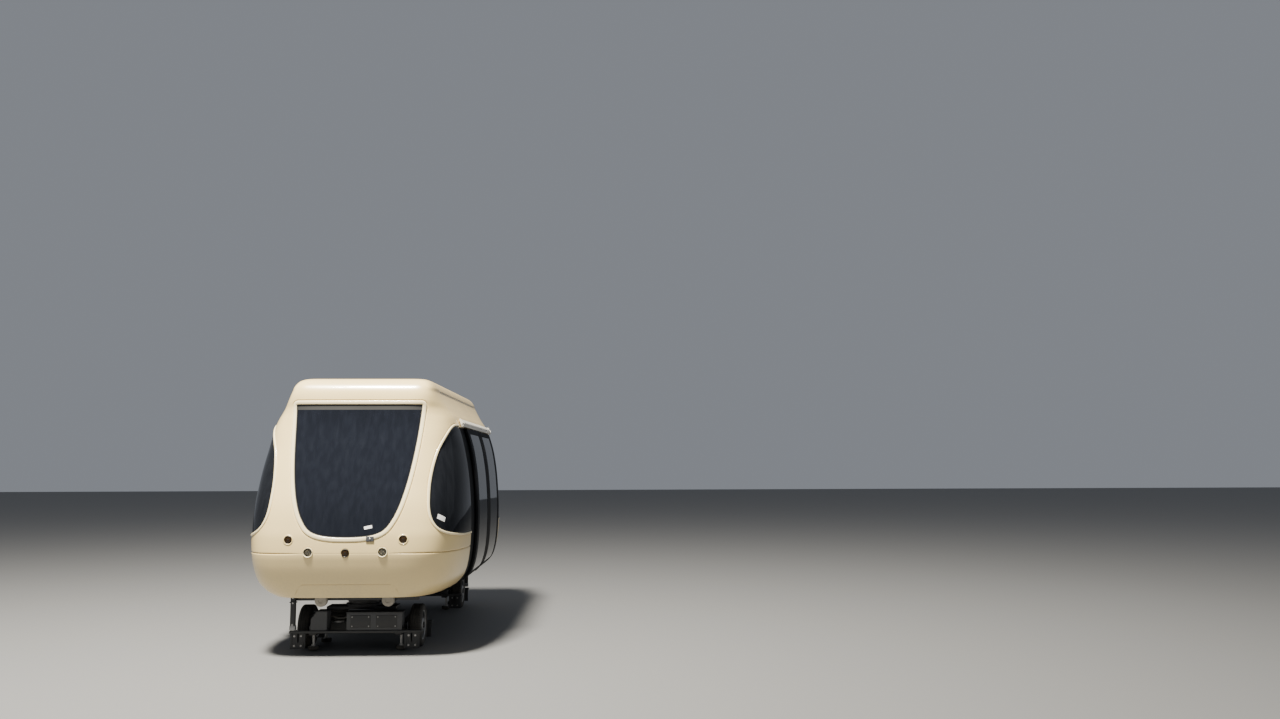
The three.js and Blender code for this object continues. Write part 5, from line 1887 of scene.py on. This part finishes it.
def railParts(x, topZ):
    # Two upright poles with a flange at each end and a joint, and the rail between the joints.
    p = poleLook
    flange = lathe([(0, 0), (0.045, 0), (0.045, 0.004), (0.026, 0.012), (0.024, 0.035), (0, 0.036)], 32)
    joint = lathe([(0, -0.035), (0.023, -0.035), (0.025, -0.031), (0.025, 0.031), (0.023, 0.035),
                   (0, 0.035)], 28)
    parts = []
    for y in (-p["y"], p["y"]):
        parts += [tube([(x, y, p["floorZ"]), (x, y, topZ)], p["radius"], 24),
                  facing(flange, (x, y, p["floorZ"]), (0, 0, 1)), facing(flange, (x, y, topZ), (0, 0, -1)),
                  moved(joint, (x, y, p["railZ"]))]
    reach = p["y"] - 0.02
    parts.append(tube([(x, -reach, p["railZ"]), (x, reach, p["railZ"])], p["radius"], 24))
    return [("brushedSteel", part) for part in parts]


for side, xSign in sides:
    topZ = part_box(f"grab_rail_{side}")[1][2] - 0.002
    rail = assemble(f"handRail_{side}", railParts(xSign * poleLook["x"], topZ))
    place(rail, "car_body", "pole_steel", f"grab_rail_{side}")
print("inside made")

# The floor keeps its own solid.
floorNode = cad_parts["floor"]
floorNode.data.materials.clear()
floorNode.data.materials.append(materials["floorRubber"])


# Camera, floor and lights.

cameraLook = {"place": (3.02, -15.546, 2.218), "yaw": 1.8896, "pitch": 5.7634, "roll": 0.17,
              "focalPixels": 1065.0, "imageWidth": 1280, "sensor": 36.0}
studioLook = {"floorHalf": 90.0, "floorColour": (0.17, 0.17, 0.168, 1), "floorRoughness": 0.75,
              "skyColour": (0.74, 0.79, 0.88, 1), "skyStrength": 0.30}
studioLights = [
    # name, position, target, size, power, colour
    ("keyLight", (-2.4, -7.2, 16.6), (0, -1.5, 1.2), (2.4, 2.4), 14500, (1.0, 0.95, 0.85)),
    ("sideLight", (11.0, 3.0, 7.0), (0, 1.0, 1.5), (6, 9), 40, (0.85, 0.92, 1.0)),
]


def makeCamera(look):
    yaw, pitch, roll = (math.radians(look[k]) for k in ("yaw", "pitch", "roll"))
    ahead = np.array([math.sin(yaw) * math.cos(pitch), math.cos(yaw) * math.cos(pitch), math.sin(pitch)])
    right = np.array([math.cos(yaw), -math.sin(yaw), 0.0])
    up = np.cross(right, ahead)
    c, s = math.cos(roll), math.sin(roll)
    right, up = right * c - up * s, up * c + right * s
    data = bpy.data.cameras.new("photoCamera")
    data.sensor_width = look["sensor"]
    data.sensor_fit = "HORIZONTAL"
    data.lens = look["focalPixels"] * look["sensor"] / look["imageWidth"]
    data.clip_end = 200
    camera = bpy.data.objects.new("photoCamera", data)
    turn = Matrix([[*row] for row in np.stack([right, up, -ahead], 1)]).to_4x4()
    turn.translation = look["place"]
    camera.matrix_world = turn
    bpy.context.scene.collection.objects.link(camera)
    bpy.context.scene.camera = camera


def areaLight(name, position, target, size, power, colour):
    data = bpy.data.lights.new(name, "AREA")
    data.shape = "RECTANGLE"
    data.size, data.size_y = size
    data.energy = power
    data.color = colour
    lamp = bpy.data.objects.new(name, data)
    ahead = np.asarray(target, float) - np.asarray(position, float)
    turn = Vector(ahead).to_track_quat("-Z", "Y").to_matrix().to_4x4()
    turn.translation = position
    lamp.matrix_world = turn
    bpy.context.scene.collection.objects.link(lamp)


def makeStudio(look):
    floorMesh = bpy.data.meshes.new("studioFloor")
    r = look["floorHalf"]
    floorMesh.from_pydata([(-r, -r, 0), (r, -r, 0), (r, r, 0), (-r, r, 0)], [], [(0, 1, 2, 3)])
    material, _, shader = newMaterial("studioFloor")
    setInputs(shader, {"Base Color": look["floorColour"], "Roughness": look["floorRoughness"]})
    floorMesh.materials.append(material)
    floor = bpy.data.objects.new("studioFloor", floorMesh)
    bpy.context.scene.collection.objects.link(floor)
    floor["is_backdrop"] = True
    world = bpy.data.worlds.new("studio")
    bpy.context.scene.world = world
    world.use_nodes = True
    background = world.node_tree.nodes["Background"]
    setInputs(background, {"Color": look["skyColour"], "Strength": look["skyStrength"]})
    for light in studioLights:
        areaLight(*light)


makeCamera(cameraLook)
makeStudio(studioLook)

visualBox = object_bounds()
for label, (low, high) in (("CAD box", cadBox), ("visual box", visualBox)):
    print(label, [round(v, 3) for v in (*low, *high)])
